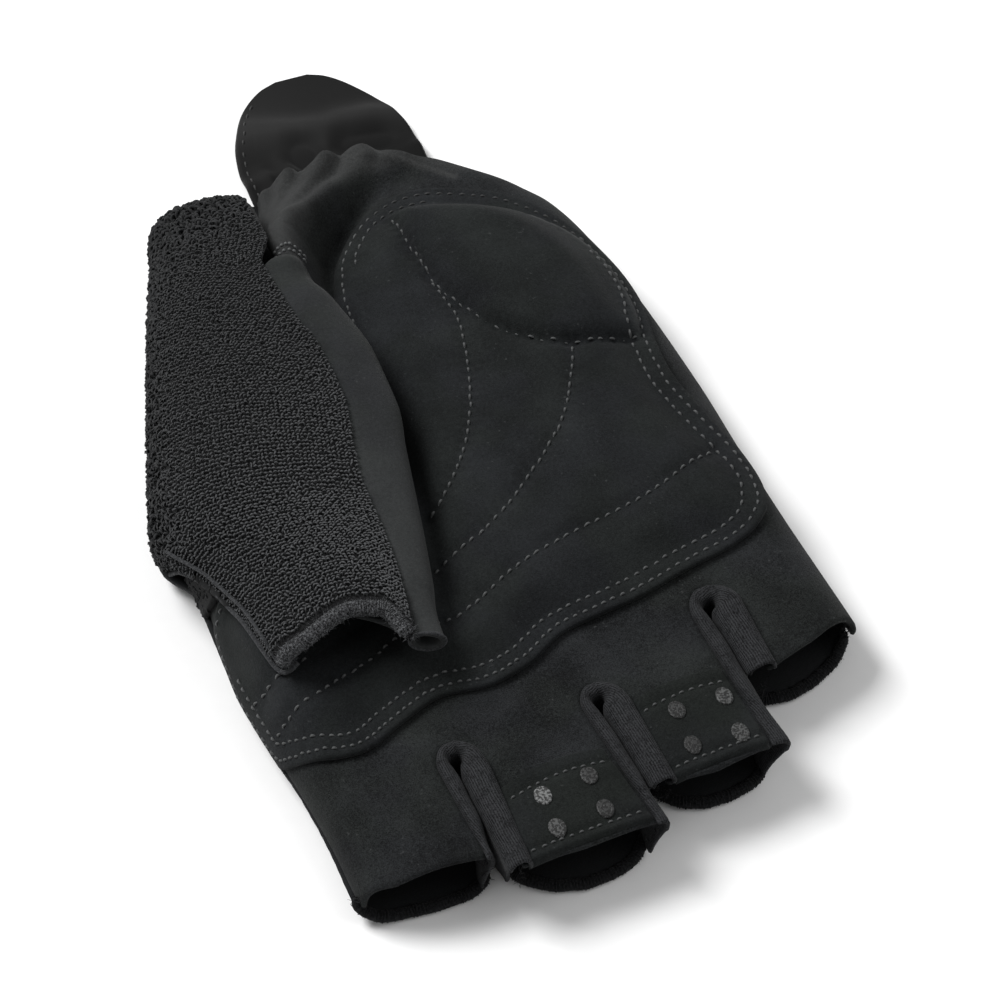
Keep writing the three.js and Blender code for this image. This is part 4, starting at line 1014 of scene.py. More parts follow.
def on_palm(s, y, lift):
    """The point that is lift above the palm, at a place of the flat pattern."""
    left, right = column(HAND, "left", y), column(HAND, "right", y)
    x = roll_up(s, left, right, PALM_SHOULDER)
    turn = np.clip((s - left - PALM_SHOULDER) / PALM_SHOULDER, -math.pi / 2, 0)
    turn = turn + np.clip((s - right + PALM_SHOULDER) / PALM_SHOULDER, 0, math.pi / 2)
    return np.stack([x + np.sin(turn) * lift, y, palm_height(x, y) + np.cos(turn) * lift], axis=-1)


def on_pad(s, y, lift):
    return on_palm(s, y, GAP + pad_swell(s, y) + lift)


def covered(x, y):
    """The upper face of whatever lies on the palm there."""
    flat = flatten(np.stack([x, y], axis=1))[:, 0]
    over = GAP + pad_swell(flat, y)
    return palm_height(x, y) + np.where(inset(PAD_OUTLINE, flat, y) > 0, over, 0)

# %% [markdown]
# A lockstitch shows as a short arch of thread that sinks into the cloth at both ends. Each arch here is
# a small tube with a length and a place of its own, because a perfectly even row looks printed. A
# texture of dashes would be lighter, but it couldn't stand up from the suede and catch the light.

# %% The padded patch and its stitches
def make_pad():
    corners, triangles = fill(PAD_OUTLINE, PAD_CLOTH["spacing"])
    s, y = corners.T
    top = on_pad(s, y, 0)
    below = on_palm(s, y, GAP / 2)
    mesh, groups, rim = sheet_mesh(top, triangles, PAD_CLOTH["thick"], PAD_CLOTH["rim"], behind=below)
    # Painted highlight: a thin pale band just inside the heel crown's rim, where the ridge catches the
    # light, fading along the crown.
    away, _, along = nearest_on(flatten(np.array(HEEL_CROWN)), s, y)
    crown_highlight = np.exp(-(((away - CROWN_HIGHLIGHT["inwards"]) / CROWN_HIGHLIGHT["wide"]) ** 2)) * ramp(0.3, 8, along)
    crown_highlight = crown_highlight * (1 - 0.75 * ramp(24, 42, along))
    crown_highlight = CROWN_HIGHLIGHT["share"] * crown_highlight * (inset(HEEL_OUTLINE, s, y) > 0)
    marked = np.concatenate([crown_highlight, 0 * crown_highlight, crown_highlight[rim]])
    piece = new_piece("palm_patch", (mesh, groups), SUEDE, "suede", marked=marked)
    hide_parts("palm_pad")


def patch_pitch(y):
    """The patch's stitches are shorter towards the fingers."""
    return mix(1.35, STITCH, ramp(-48, -20, y))


THREAD_WANDER = {"along": 0.035, "aside": 0.06}
THREAD_SWELL = np.array([0.5, 0.85, 1, 1.05, 1, 0.85, 0.5])


def stitches(line, surface, pitch=patch_pitch, radius=0.23, closed=False, share=0.52, keep=None):
    """Thread that shows as short arches along a line, sunk into the cloth at both ends."""
    line = np.asarray(line, float)[:, :2]
    if closed:
        line = np.vstack([line, line[:1]])
    line = spaced(line, 0.5)
    step = pitch(line[1:, 1]) if callable(pitch) else pitch
    along = np.concatenate([[0], np.cumsum(np.linalg.norm(np.diff(line, axis=0), axis=1) / step)])
    count = max(1, int(along[-1]))
    middle = (np.arange(count) + 0.5) * along[-1] / count + rng.normal(0, THREAD_WANDER["along"], count)
    if keep is not None:
        place = np.stack([np.interp(middle, along, line[:, k]) for k in range(2)])
        middle = middle[keep(*place)]
        count = len(middle)
    t = np.linspace(-0.5, 0.5, len(THREAD_SWELL))
    at = middle[:, None] + t[None] * share * rng.uniform(0.85, 1.15, (count, 1))
    flat = np.stack([np.interp(at, along, line[:, k]) for k in range(2)], axis=2)
    flat = flat + rng.normal(0, THREAD_WANDER["aside"], (count, 1, 2))
    lift = radius * mix(-0.8, 0.7, np.cos(t * math.pi * 0.98))[None] * np.ones((count, 1))
    thick = radius * THREAD_SWELL
    return tube_mesh(surface(flat[..., 0], flat[..., 1], lift), (0, 0, 1), thick[None], 6)


def thread_bright(points):
    """The border's stitches are painted darker where they lie in the shade behind the heel's crown."""
    x, y = points[:, 0], points[:, 1]
    return 1 - 0.75 * ramp(-3, 3, x) * ramp(44, 56, y)


def make_pad_stitches():
    outer, inner = BORDER_LINES
    seen_row = lambda s, y: ~((s < -2) & (y > -20) & (y < 58.5)) & ~((s > 12) & (y > 46))
    past_thumb = lambda s, y: s < -43
    outer_row = stitches(outer, on_pad, closed=True)
    inner_row = stitches(inner, on_pad, closed=True, keep=seen_row)
    border = joined(outer_row, inner_row)
    new_piece("border_stitches", border, THREAD, "suede", bright=thread_bright(border[0]))
    rows = []
    for name, line in CHANNEL_LINES.items():
        rows.append(stitches(line, on_pad, keep=past_thumb if name == "short" else None))
    new_piece("channel_stitches", joined(*rows), THREAD, "suede", bright=1.0)


make_pad()
make_pad_stitches()

# %% [markdown]
# The finger sides are strips of ribbed jersey, folded round each slit. They are longer than the suede's
# edge, so they puff up over it. Each cross-section is half an oval that starts on the suede, swells,
# and drops to the back; the wider strip lies on the little finger's side of each slit.

# %% The finger sides
CORNER = {-1: 1.8, 1: 5.0}
MEETING = {-1: 0.80, 1: 1.16}
PUFF = {-1: 2.0, 1: 2.7}
OVER = {-1: 0.35, 1: 1.6}
FREE = {"index_middle": 0.6, "middle_ring": 1.4, "ring_little": 2.6}
SIDE_THICK = 0.7
ARCH_SHARE, DROP_SHARE = 0.55, 0.45
BACK_TOP = 1.6


def finger_side(slit, rows=170, columns=56):
    """One fourchette: along runs from one finger's mouth round the crotch to the other's."""
    u = np.linspace(-1, 1, rows)[:, None]
    w = np.linspace(0, 1, columns)[None, :]
    right = u > 0
    pick = lambda pair: np.where(right, pair[1], pair[-1])
    far = np.abs(u)
    down = np.clip((w - ARCH_SHARE) / DROP_SHARE, 0, 1)
    end = np.where(right, slit["right"] - 0.6, slit["left"] - 1.0)
    reach = slit["crotch"] - end - pick(CORNER) * ramp(0.5, 1, far) * down**0.7
    y = slit["crotch"] - GAP - (reach - GAP) * (far * far / (0.35 + 0.65 * far))
    side = np.where(right, 1.0, -1.0)
    edge_x = slit_middle(slit, y) + side * np.maximum(0, slit_half(slit, y) - GAP)
    inward_y = np.minimum(y, slit["crotch"] - slit["half"] * SLIT_ROUND)
    inward_x = slit_middle(slit, inward_y)
    dx, dy = inward_x - edge_x, inward_y - y
    length = np.hypot(dx, dy) + 1e-9
    dx, dy = dx / length, dy / length
    over = pick(OVER) * ramp(0.03, 0.4, far) + 0.2
    closed = mix(0.52, pick(MEETING), ramp(0.1, 0.44, far)) * length
    arch = np.clip(w / ARCH_SHARE, 0, 1) * math.pi * 0.93
    out = -over + (closed + over) / 2 * (1 - np.cos(arch))
    top = palm_height(edge_x - dx * over, y - dy * over)
    puff = pick(PUFF) * mix(0.75, 1.0, ramp(0, 0.4, far))
    z = top - 0.3 + puff * np.sin(arch) ** 0.75 - 0.9 * (1 - np.cos(arch)) / 2
    low = mix(0.62, 0.8, ramp(0, 0.5, far)) * closed * np.where(right, 1 - 0.4 * ramp(0.75, 1, far), 1.0)
    bottom = mix(6.5, 1.9, ramp(0.12, 0.4, far))
    drop = down * down * (3 - 2 * down)
    out = np.where(w > ARCH_SHARE, mix(out, low, drop), out)
    z = np.where(w > ARCH_SHARE, mix(z, bottom, down), z)
    hang = ramp(0.72, 1, far) * np.where(right, 0.0, 1.0)
    free = np.where(right, closed, FREE[slit["name"]])
    out = mix(out, -0.3 + (free + 0.6) * np.sin(math.pi * w**0.75), hang)
    z = mix(z, BACK_TOP + (top + 0.5 - BACK_TOP) * np.cos(w * math.pi / 2) ** 0.8, hang)
    wrinkle = np.sin(u * 19 + w * 5 + slit["x"]) * np.sin(u * 7 - w * 9) * 0.16 * np.sin(math.pi * w)
    return np.stack([edge_x + dx * out, y + dy * out, z + wrinkle], axis=2)


def run_length(points, axis):
    """How far along its row or column each point of a grid lies."""
    steps = np.linalg.norm(np.diff(points, axis=axis), axis=2)
    return np.insert(np.cumsum(steps, axis=axis), 0, 0.0, axis=axis)


def make_finger_side(slit):
    points = finger_side(slit)
    across, along = run_length(points, 1), run_length(points, 0)
    flat = points.reshape(-1, 3)
    faces = facing(flat, grid_faces(*points.shape[:2]))
    mesh, groups, rim = sheet_mesh(flat, faces, SIDE_THICK)
    piece = new_piece("side_" + slit["name"], (mesh, groups), RIBS, "rib_jersey",
                      across=both_faces(across.ravel(), rim), along=both_faces(along.ravel(), rim))
    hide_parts("fourchette_" + slit["name"])
    width, length = float(across[:, -1].max()) * MM, float(along[-1].max()) * MM
    min(face_area(flat, faces), width * length)


for slit in SLITS:
    make_finger_side(slit)

# %% [markdown]
# The thumb is a table of its own: a row for each section from the closed end at the wrist to the open
# mouth. An angle runs round each section, from the left edge over the arch to the right fold and back
# underneath. Towelling and suede share this tube, so their seam can't come apart.

# %% The thumb's table
THUMB = table(
    "left_x left_y left_z right_x right_y right_z top under tuck seam",
    (-31.8, 86.2, 5.2, -21, 85.8, 5.6, 7.8, 4, 1.0, 0.93),
    (-36.4, 84.8, 6.8, -18.8, 84.4, 8.6, 12.6, 6, 2.6, 0.93),
    (-39.4, 81, 8, -18.4, 80.4, 12, 16.6, 9, 3.8, 0.92),
    (-41.2, 74.4, 8.8, -18.4, 74, 15, 19.6, 12, 4.4, 0.87),
    (-44.4, 64.8, 9.2, -18.4, 64.6, 17.6, 22.8, 13.4, 5.2, 0.79),
    (-47.8, 54.4, 9.6, -17.0, 54.6, 18.6, 25.4, 13.4, 6.4, 0.49),
    (-51.6, 42, 10, -14.4, 42, 20, 27.6, 13.6, 6.8, 0.47),
    (-55.6, 29, 10, -12.5, 29, 20.8, 29, 13.8, 6.8, 0.54),
    (-58.9, 17.5, 10, -12.7, 17, 21.2, 29.6, 14.2, 6.8, 0.585),
    (-60.8, 9, 10.4, -14.6, 7, 21.4, 29.8, 15, 6.0, 0.595),
    (-58.8, 2.4, 13.6, -16.4, -3, 21.4, 29.6, 18.4, 2.2, 0.57),
    (-54.6, -6, 16, -18.2, -13, 21.2, 29, 20, 0.6, 0.6),
    (-51.6, -16, 17, -20.4, -24, 21, 28.4, 20.6, 0, 0.64),
    (-49.8, -26.4, 17.6, -22.8, -34.6, 20.6, 27.6, 20.8, 0, 0.665),
)
THUMB_LAST = 13
TUCK_ANGLE = 0.46
STRIP_START = 4.6
THUMB_BOW = 0.5
UNDER_SEAM = 0.02


def thumb_point(station, angle, inner=0.0):
    """A point of the thumb's outer face; inner lowers its arch."""
    row = lambda key: column(THUMB, key, station)
    across = (1 - np.cos(angle)) / 2
    lift = np.abs(np.sin(angle))
    base = mix(row("left_z"), row("right_z"), across)
    tucked = row("left_z") - row("tuck") * lift / math.sin(TUCK_ANGLE)
    over = base + (row("top") - inner - base) * lift**0.85
    under = base + (row("under") - base) * lift**0.6
    z = np.where(angle < 0, tucked, np.where(angle <= math.pi, over, under))
    x = mix(row("left_x"), row("right_x"), across)
    y = mix(row("left_y"), row("right_y"), across)
    return np.stack([x, y, z], axis=-1)


def seam_angle(station):
    return math.pi - np.arccos(column(THUMB, "seam", station))


def terry_start(station):
    return -TUCK_ANGLE * np.clip(column(THUMB, "tuck", station) / 1.5, 0, 1)


def mouth_bow(angle):
    """How far the mouth's edge draws back over the arch, in stations."""
    across = (1 - np.cos(np.maximum(angle, 0))) / 2
    return THUMB_BOW * ramp(0.08, 0.55, across) * (1 - ramp(0.70, 0.86, across))


def terry_point(station, angle, inner=0.0):
    """The thumb's outer face as the towelling follows it, drawn back at the mouth."""
    back = mouth_bow(angle) * ramp(THUMB_LAST - 3, THUMB_LAST, station)
    return thumb_point(station - back, angle, inner)


def coarseness(station, angle):
    """1 where the towelling is coarse and tangled, near the wrist, and 0 where it is fine."""
    band = (1 - ramp(0.3, 0.8, angle)) * (1 - ramp(9, 10.5, station))
    return np.maximum(1 - ramp(3.4, 6.4, station + 0.9 * np.maximum(angle, 0)), 0.9 * band)

# %% [markdown]
# Towelling is a ground cloth with thousands of small loops of yarn. The ground only shows as darkness
# between the loops, so it lies a loop's height below their tops: deeper near the wrist, where the loops
# are long. Its colour is also painted darker than the loops', as painted shade.

# %% The towelling's ground
GROUND = {"fine": 0.6, "coarse": 1.35, "thick": 1.2}


def ground_depth(coarse):
    """How far the ground cloth lies under the loops' tops."""
    return mix(GROUND["fine"], GROUND["coarse"], coarse)


def terry_ground():
    station = np.linspace(0, THUMB_LAST, 150)[:, None]
    angle = mix(terry_start(station), seam_angle(station) - UNDER_SEAM, np.linspace(0, 1, 72)[None, :])
    station = np.broadcast_to(station, angle.shape)
    flat = terry_point(station, angle).reshape(-1, 3)
    faces = facing(flat, grid_faces(*angle.shape))
    coarse = coarseness(station, angle).reshape(-1, 1)
    flat = flat - normals(flat, faces) * ground_depth(coarse)
    mesh, groups, _ = sheet_mesh(flat, faces, GROUND["thick"])
    # The ground's low tip value is painted shade between the loops.
    piece = new_piece("thumb_towelling", (mesh, groups), TERRY_BASE, "terry", tip=0.25, bright=1.0)
    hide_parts("thumb_terry")
    face_area(flat, faces)

# %% [markdown]
# Bump alone looks like gravel, because a loop hides what is behind it and breaks the outline, so each
# loop here is a real arch of yarn. Near the mouth they stand in fine rows; near the wrist they are
# longer, thicker and tangled. The tangled ones get more points to bend in; the fine ones make do with
# fewer, which keeps the meshes small.

# %% The towelling's loops
LOOP = {"row": 0.74, "pitch": 0.72, "height": 0.6, "wide": 0.56, "yarn": 0.165}
COARSE = {"row": 1.0, "pitch": 1.1, "height": 1.1, "wide": 1.35, "yarn": 0.27}
ROW_SLANT = 1.4
TANGLED_BRIGHT = 0.15


def terry_surface(station, angle):
    """The point, outward direction and row direction of the towelling's outer face."""
    step = 0.02
    ahead = terry_point(np.minimum(station + step, THUMB_LAST), angle)
    behind = terry_point(np.maximum(station - step, 0), angle)
    across = terry_point(station, angle + step) - terry_point(station, angle - step)
    return terry_point(station, angle), *square_up(across, ahead - behind)


def square_up(across, forward):
    """Outward and row directions of length 1."""
    return unit(np.cross(forward, across)), unit(across)


def loop_places():
    """Where the loops stand, in rows, and in columns beside the seam: station, angle, coarseness."""
    rows, station = [], -1.0
    while station < THUMB_LAST + 0.8:
        slant = ROW_SLANT * (1 - ramp(7, 13, station))
        share = np.linspace(0, 1, 200)
        angle = mix(-TUCK_ANGLE, 2.45, share)
        at = station + slant * ((1 - np.cos(np.maximum(angle, 0))) / 2 - 0.4)
        inside = (at > 0.1) & (at < THUMB_LAST - 0.02)
        held = np.clip(at, 0, THUMB_LAST)
        line = terry_point(held, angle)
        along = np.concatenate([[0], np.cumsum(np.linalg.norm(np.diff(line, axis=0), axis=1))])
        coarse = coarseness(held, angle)
        density = 1 / mix(LOOP["pitch"], COARSE["pitch"], coarse)
        columns = np.concatenate([[0], np.cumsum(np.diff(along) * (density[1:] + density[:-1]) / 2)])
        seam = np.interp(0, angle - seam_angle(held), columns)
        want = np.arange(seam - 0.3, 0, -1.0)
        want = want + rng.normal(0, 1, len(want)) * 0.08
        found = np.interp(want, columns, angle)
        where = np.interp(want, columns, at)
        keep = found > terry_start(np.clip(where, 0, THUMB_LAST)) + 0.01
        keep &= np.interp(want, columns, inside) > 0.99
        rows.append(np.stack([where, found, np.interp(found, angle, coarse)], axis=1)[keep])
        step = float(mix(LOOP["row"], COARSE["row"], coarse.mean()))
        here, top, probe = np.array(np.clip(station, 0, THUMB_LAST - 0.1)), np.array(1.2), 0.05
        ahead = thumb_point(here + probe, top) - thumb_point(here, top)
        station += step * probe / max(0.05, float(np.linalg.norm(ahead)))
    return np.vstack(rows)


def yarn_loops(here, out, across, coarse, rings=5, sides=3):
    """An arch of yarn at each point, leaning a little its own way."""
    count = len(here)
    forward = np.cross(out, across)
    height, wide, yarn = (mix(LOOP[key], COARSE[key], coarse) * rng.uniform(0.8, 1.2, count)
                          for key in ("height", "wide", "yarn"))
    turn = rng.normal(0, 1, count) * mix(0.3, 1.5, coarse)
    run = across * np.cos(turn)[:, None] + forward * np.sin(turn)[:, None]
    lean = rng.normal(0, 1, (count, 2)) * mix(0.14, 0.6, coarse)[:, None]
    up = unit(out + run * lean[:, :1] + np.cross(out, run) * lean[:, 1:])
    t = np.linspace(0, math.pi, rings)
    x = -np.cos(t) * (1 + 0.35 * np.sin(t)) / 1.15
    foot = here - out * ground_depth(coarse)[:, None]
    points = foot[:, None] + run[:, None] * (x[None, :, None] * wide[:, None, None] / 2)
    points = points + up[:, None] * (np.sin(t)[None, :, None] ** 0.8 * height[:, None, None])
    twist = np.cross(run, up)
    slant = np.cos(t)[None, :, None] * rng.normal(0, 0.15, count)[:, None, None]
    points = points + twist[:, None] * slant
    # Painted light: each loop is painted lighter at its top and darker at its feet.
    lit = mix(np.sin(t)[None], 1.0, 0.5 * coarse[:, None]) * rng.uniform(0.75, 1.1, (count, 1))
    tip = np.broadcast_to(lit[..., None], (count, rings, sides))
    return tube_mesh(points, twist, yarn[:, None] * (0.85 + 0.15 * np.sin(t))[None], sides), tip.ravel()


def make_towelling():
    terry_ground()
    places = loop_places()
    print("towelling loops", len(places))
    station, angle, coarse = places.T
    jitter = rng.normal(0, 0.008, len(station)) * (1 + 4 * coarse)
    station = np.clip(station + jitter, 0.02, THUMB_LAST - 0.01)
    tangled, upper = (station < 6.0) & (coarse > 0.3), station < 9.0
    thirds = {"terry_loops_wrist": (tangled, 7, 4), "terry_loops_middle": (~tangled & upper, 5, 3),
              "terry_loops_mouth": (~tangled & ~upper, 5, 3)}
    for name, (chosen, rings, sides) in thirds.items():
        surface = terry_surface(station[chosen], angle[chosen])
        mesh, tip = yarn_loops(*surface, coarse[chosen], rings, sides)
        # Painted light: the loops are painted lighter towards the thumb's mouth and a little darker near
        # the thumb's left edge; tangled loops are much darker.
        bright = mix(0.48, 0.9, ramp(4, 11, station[chosen]))
        bright = bright * mix(0.85, 1.0, ramp(0.4, 2, angle[chosen]))
        bright = mix(bright, TANGLED_BRIGHT, coarse[chosen])
        new_piece(name, mesh, TERRY_LOOPS, "terry", tip=tip, bright=np.repeat(bright, rings * sides))


make_towelling()

# %% [markdown]
# A suede strip closes the thumb: it starts at the towelling, rolls over the thumb's fold and forms the
# wall underneath. Towards the mouth it curls into a small roll. Where it would run into the palm it is
# left open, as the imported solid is, since the palm hides what is under it.

# %% The suede strip
THUMB_HOLE = np.array([(-70, 8.5), (-52, 6.5), (-34, 6.5), (-24, 9), (-20, 16), (-19.4, 40),
                       (-21.6, 56.5), (-23.6, 66),
                       (-20.4, 77), (-17, 88), (-40, 95), (-70, 90)])


ROLLED_END = {"centre": np.array([-25.2, -34.2, 22.2]), "wide": 3.0, "high": 2.2,
              "along": np.array([0.6, 10.6, 0.2]), "side": np.array([0.955, -0.297, 0.0])}
STRIP = {"fold": 0.42, "thick": 0.9, "inner": 0.7, "last_angle": FULL_TURN - 0.74, "rim": 0.34,
         "clear": 0.6}
STRIP_BULGE = {"at": 4.95, "long": 0.3, "high": 1.3}
STRIP_DIMPLE = {"at": 5.35, "long": 0.22, "deep": 2.0}
THUMB_FLOOR = 17


def make_strip():
    share = np.linspace(0, 1, 80)[None, :]
    fold = STRIP["fold"]
    middle = np.clip(2 * share / fold - 1, -1, 1)
    start = STRIP_START + 0.3 * (1 - np.sqrt(1 - middle**2))
    station = mix(start, float(THUMB_LAST), np.linspace(0, 1, 150)[:, None] ** 1.15)
    over = mix(seam_angle(station) - UNDER_SEAM, math.pi, np.minimum(share / fold, 1))
    under = mix(math.pi, STRIP["last_angle"], np.clip((share - fold) / (1 - fold), 0, 1))
    angle = np.where(share <= fold, over, under)
    station = np.broadcast_to(station, angle.shape)
    points = thumb_point(station, angle, STRIP["inner"])
    back = 4 * ramp(0.5, 1, (share - fold) / (1 - fold)) * ramp(THUMB_LAST - 1, THUMB_LAST, station)
    points[..., 1] += back
    swell = 0.9 * np.sin(math.pi * np.clip(share / fold, 0, 1)) - 0.5 * (1 - np.clip(share / 0.06, 0, 1))
    points[..., 2] += swell * ramp(STRIP_START, STRIP_START + 0.5, station)
    across = np.clip(share / fold, 0, 1)
    along = (station - STRIP_BULGE["at"]) / STRIP_BULGE["long"]
    bulge = STRIP_BULGE["high"] * np.exp(-(along**2)) * np.sin(math.pi * across)
    along = (station - STRIP_DIMPLE["at"]) / STRIP_DIMPLE["long"]
    dimple = STRIP_DIMPLE["deep"] * np.exp(-(along**2) - ((across - 1.0) / 0.4) ** 2)
    points[..., 2] += bulge - dimple - 2.0 * (1 - ramp(0, 0.3, station - start)) ** 2
    turn = np.where(share <= fold, mix(155, 0, share / fold), mix(0, -200, (share - fold) / (1 - fold)))
    turn = np.radians(turn)
    centre = ROLLED_END["centre"] + (THUMB_LAST - station)[..., None] * ROLLED_END["along"]
    oval = centre + np.cos(turn)[..., None] * ROLLED_END["wide"] * ROLLED_END["side"]
    oval[..., 2] += np.sin(turn) * ROLLED_END["high"]
    points = mix(points, oval, ramp(THUMB_LAST - 1.1, THUMB_LAST - 0.05, station)[..., None])
    x, y, z = (points[..., k].ravel() for k in range(3))
    over_hole = inset(THUMB_HOLE, x, y) > 0
    clear = (z > covered(x, y) + STRIP["clear"]) & ~(over_hole & (z < THUMB_FLOOR))
    clear |= (angle <= math.pi).ravel()
    faces = grid_faces(*angle.shape)
    faces = faces[clear[faces].all(axis=1)]
    flat = points.reshape(-1, 3)
    outward = normals(flat, faces)[(angle < math.pi * 0.95).ravel()]
    if outward[:, 2].mean() < 0:
        faces = faces[:, ::-1]
    used, renumbered = np.unique(faces, return_inverse=True)
    flat, faces = flat[used], renumbered.reshape(faces.shape)
    mesh, groups, rim = sheet_mesh(flat, faces, STRIP["thick"])
    # Painted light: the strip is painted lighter towards the thumb's mouth.
    pale = ramp(7, 12, station.ravel()[used])
    edge = smooth_line(points[-1, ::6], 0.4)
    edge = tube_mesh(edge[None], (0, 1, 0), np.full((1, len(edge)), STRIP["rim"]), 8)
    new_piece("strip_rim", edge, LIP, "suede")
    piece = new_piece("thumb_suede", (mesh, groups), LIT_STRIP_SUEDE, "suede", marked=both_faces(pale, rim))
    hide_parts("thumb_strip")
    min(face_area(flat, faces), 0.050 * 0.100)


make_strip()

# %% [markdown]
# A gusset of the same towelling closes the corner between the thumb and the hand. It is a plain ruled
# surface between a low line and a high one, with rather coarse loops on its outer face. Most of it lies
# in the thumb's shadow, so nothing finer is needed.

# %% The web below the thumb
WEB = table(
    "low_x low_y low_z high_x high_y high_z",
    (-54.4, 15, 5, -54.2, 14, 8.6),
    (-55.6, 8.4, 5, -55.2, 7.8, 9.8),
    (-55.8, 4.4, 5, -55.0, 3.8, 10.2),
    (-55.6, 0.8, 5, -54.4, -0.6, 11),
    (-55.4, -3.2, 5, -53.8, -4.8, 11.6),
)
WEB_LAST = 4
WEB_CLOTH = {"thick": 1.5, "coarse": 0.55, "rows": 7, "columns": 24}


def web_point(at, up):
    """A point of the web, between its low edge and its high one."""
    low, high = (np.stack([column(WEB, f"{end}_{axis}", at) for axis in "xyz"], axis=-1)
                 for end in ("low", "high"))
    return mix(low, high, up[..., None])


def make_web():
    points = web_point(np.linspace(0, WEB_LAST, 50)[:, None], np.linspace(0, 1, 24)[None, :])
    flat = points.reshape(-1, 3)
    faces = facing(flat, grid_faces(*points.shape[:2]), axis=0, sign=-1)
    mesh, groups, _ = sheet_mesh(flat, faces, WEB_CLOTH["thick"])
    # Painted shade: the web's cloth and loops are painted dark, because they lie in the thumb's shadow.
    piece = new_piece("web_towelling", (mesh, groups), TERRY_BASE, "terry", tip=0.1, bright=0.5)
    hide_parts("thumb_web")
    at, up = np.meshgrid(np.linspace(0.05, WEB_LAST - 0.05, WEB_CLOTH["columns"]),
                         np.linspace(0.02, 0.8, WEB_CLOTH["rows"]))
    at, up = at.ravel(), up.ravel()
    at = np.clip(at + rng.normal(0, 0.05, len(at)), 0, WEB_LAST)
    up = np.clip(up + rng.normal(0, 0.04, len(up)), 0, 1)
    step = 0.01
    rise = web_point(at, up + step) - web_point(at, up - step)
    run = web_point(at + step, up) - web_point(at - step, up)
    outward, across = square_up(rise, run)
    outward = outward * np.where(outward[:, :1] > 0, -1, 1)
    mesh, tip = yarn_loops(web_point(at, up) + outward * 0.2, outward, across,
                           np.full(len(at), WEB_CLOTH["coarse"]))
    new_piece("web_loops", mesh, TERRY_LOOPS, "terry", tip=tip, bright=0.12)


make_web()

# %% [markdown]
# Cut edges are bound. A roll of fuzzy yarn goes round the thumb's mouth. It is a tube whose radius
# beats with the wraps of the thread, and short fibres stand off it. The fibres are real, because
# against the pale floor the eye finds softness in the broken outline first.

# %% The binding of the thumb's mouth
def roll_ends(along, taper):
    """The radius's share along a roll, rounded at both ends."""
    short = np.minimum(along, along[-1] - along)
    return np.sqrt(1 - (1 - np.clip((short + 0.15) / taper, 0, 1)) ** 2)


def wrapped_roll(line, radius, beat, depth, sides=14, spacing=0.3, taper=1.5):
    """A closed roll along a line, with the overlock's wraps standing out."""
    line = spaced(line, spacing)
    along = np.arange(len(line)) * spacing
    wrap = 1 + depth * np.sin(2 * math.pi * along / beat) + rng.normal(0, 0.02, len(line))
    points, groups = tube_mesh(line[None], (0, 0, 1),
    (radius * wrap * roll_ends(along, taper))[None], sides)
    return (points, groups), np.repeat(along, sides)


def wraps(line, radius, pitch, yarn, taper=1.5, reach=2.0):
    """Thread laid over a roll across its run, one turn each pitch."""
    line = spaced(line, pitch)
    along = np.arange(len(line)) * pitch
    run = unit(np.gradient(line, axis=0))
    side = unit(np.cross(run, np.array([0, 0, 1.0])))
    up = np.cross(side, run)
    turn = np.linspace(-reach, reach, 9)[None, :, None]
    far = (radius * roll_ends(along, taper))[:, None, None] + rng.uniform(-0.04, 0.1, (len(line), 1, 1))
    tilt = rng.normal(0.25, 0.35, (len(line), 1, 1)) * turn * 0.3
    ring = np.sin(turn) * side[:, None] + np.cos(turn) * up[:, None]
    points = line[:, None] + far * ring + run[:, None] * tilt
    return tube_mesh(points, run, np.full((1, 9), yarn) * rng.uniform(0.7, 1.3, (len(line), 1)), 4)


def fibres(line, radius, count, length, yarn=0.04, curl=0.6):
    """Short curved hairs that stand off a roll."""
    line = spaced(line, 0.3)
    here = line[rng.integers(0, len(line), count)]
    out = rng.normal(0, 1, (count, 3))
    out[:, 2] = np.abs(out[:, 2])
    out = unit(out)
    bend = rng.normal(0, curl, (count, 3))
    t = np.linspace(0, 1, 4)[None, :, None]
    long = (length * rng.uniform(0.4, 1.3, count))[:, None, None]
    points = (here + out * radius * 0.9)[:, None] + out[:, None] * t * long + bend[:, None] * t * t * long
    thick = yarn * np.array([1, 0.9, 0.7, 0.3])
    return tube_mesh(points, np.cross(out, bend), thick[None], 3)


ROLL = {"radius": 1.32, "first": 0.1, "inner": 1.2, "share": 0.955, "off": -1.55, "points": 60}


def mouth_edge(share):
    """Points of the towelling's edge at the thumb's mouth, from the left at 0 to the seam at 1."""
    angle = mix(ROLL["first"], float(seam_angle(THUMB_LAST)), np.clip(share, 0, 1))
    return terry_point(np.full(len(share), float(THUMB_LAST)), angle, ROLL["inner"])


def binding_line():
    """The middle of the roll round the thumb's mouth."""
    t = np.linspace(0, ROLL["share"], ROLL["points"])
    before, after = mouth_edge(t - 0.04), mouth_edge(t + 0.04)
    slant = np.minimum(2.0, np.abs(after[:, 1] - before[:, 1]) / np.abs(after[:, 0] - before[:, 0]))
    return mouth_edge(t) + np.stack([mix(1.2, -0.4, t), ROLL["off"] * np.hypot(1, slant), 0 * t], axis=1)


def make_binding():
    line = binding_line()
    mesh, along = wrapped_roll(line, ROLL["radius"], 0.9, 0.03, sides=20, spacing=0.25)
    piece = new_piece("thumb_mouth_binding", mesh, BINDING, "binding", along=along)
    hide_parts("thumb_binding")
    parts = [wraps(line, ROLL["radius"] + 0.01, 0.36, 0.12), fibres(line, ROLL["radius"], 1500, 0.75)]
    new_piece("thumb_mouth_fuzz", joined(*parts), BINDING, "binding", along=0.0)


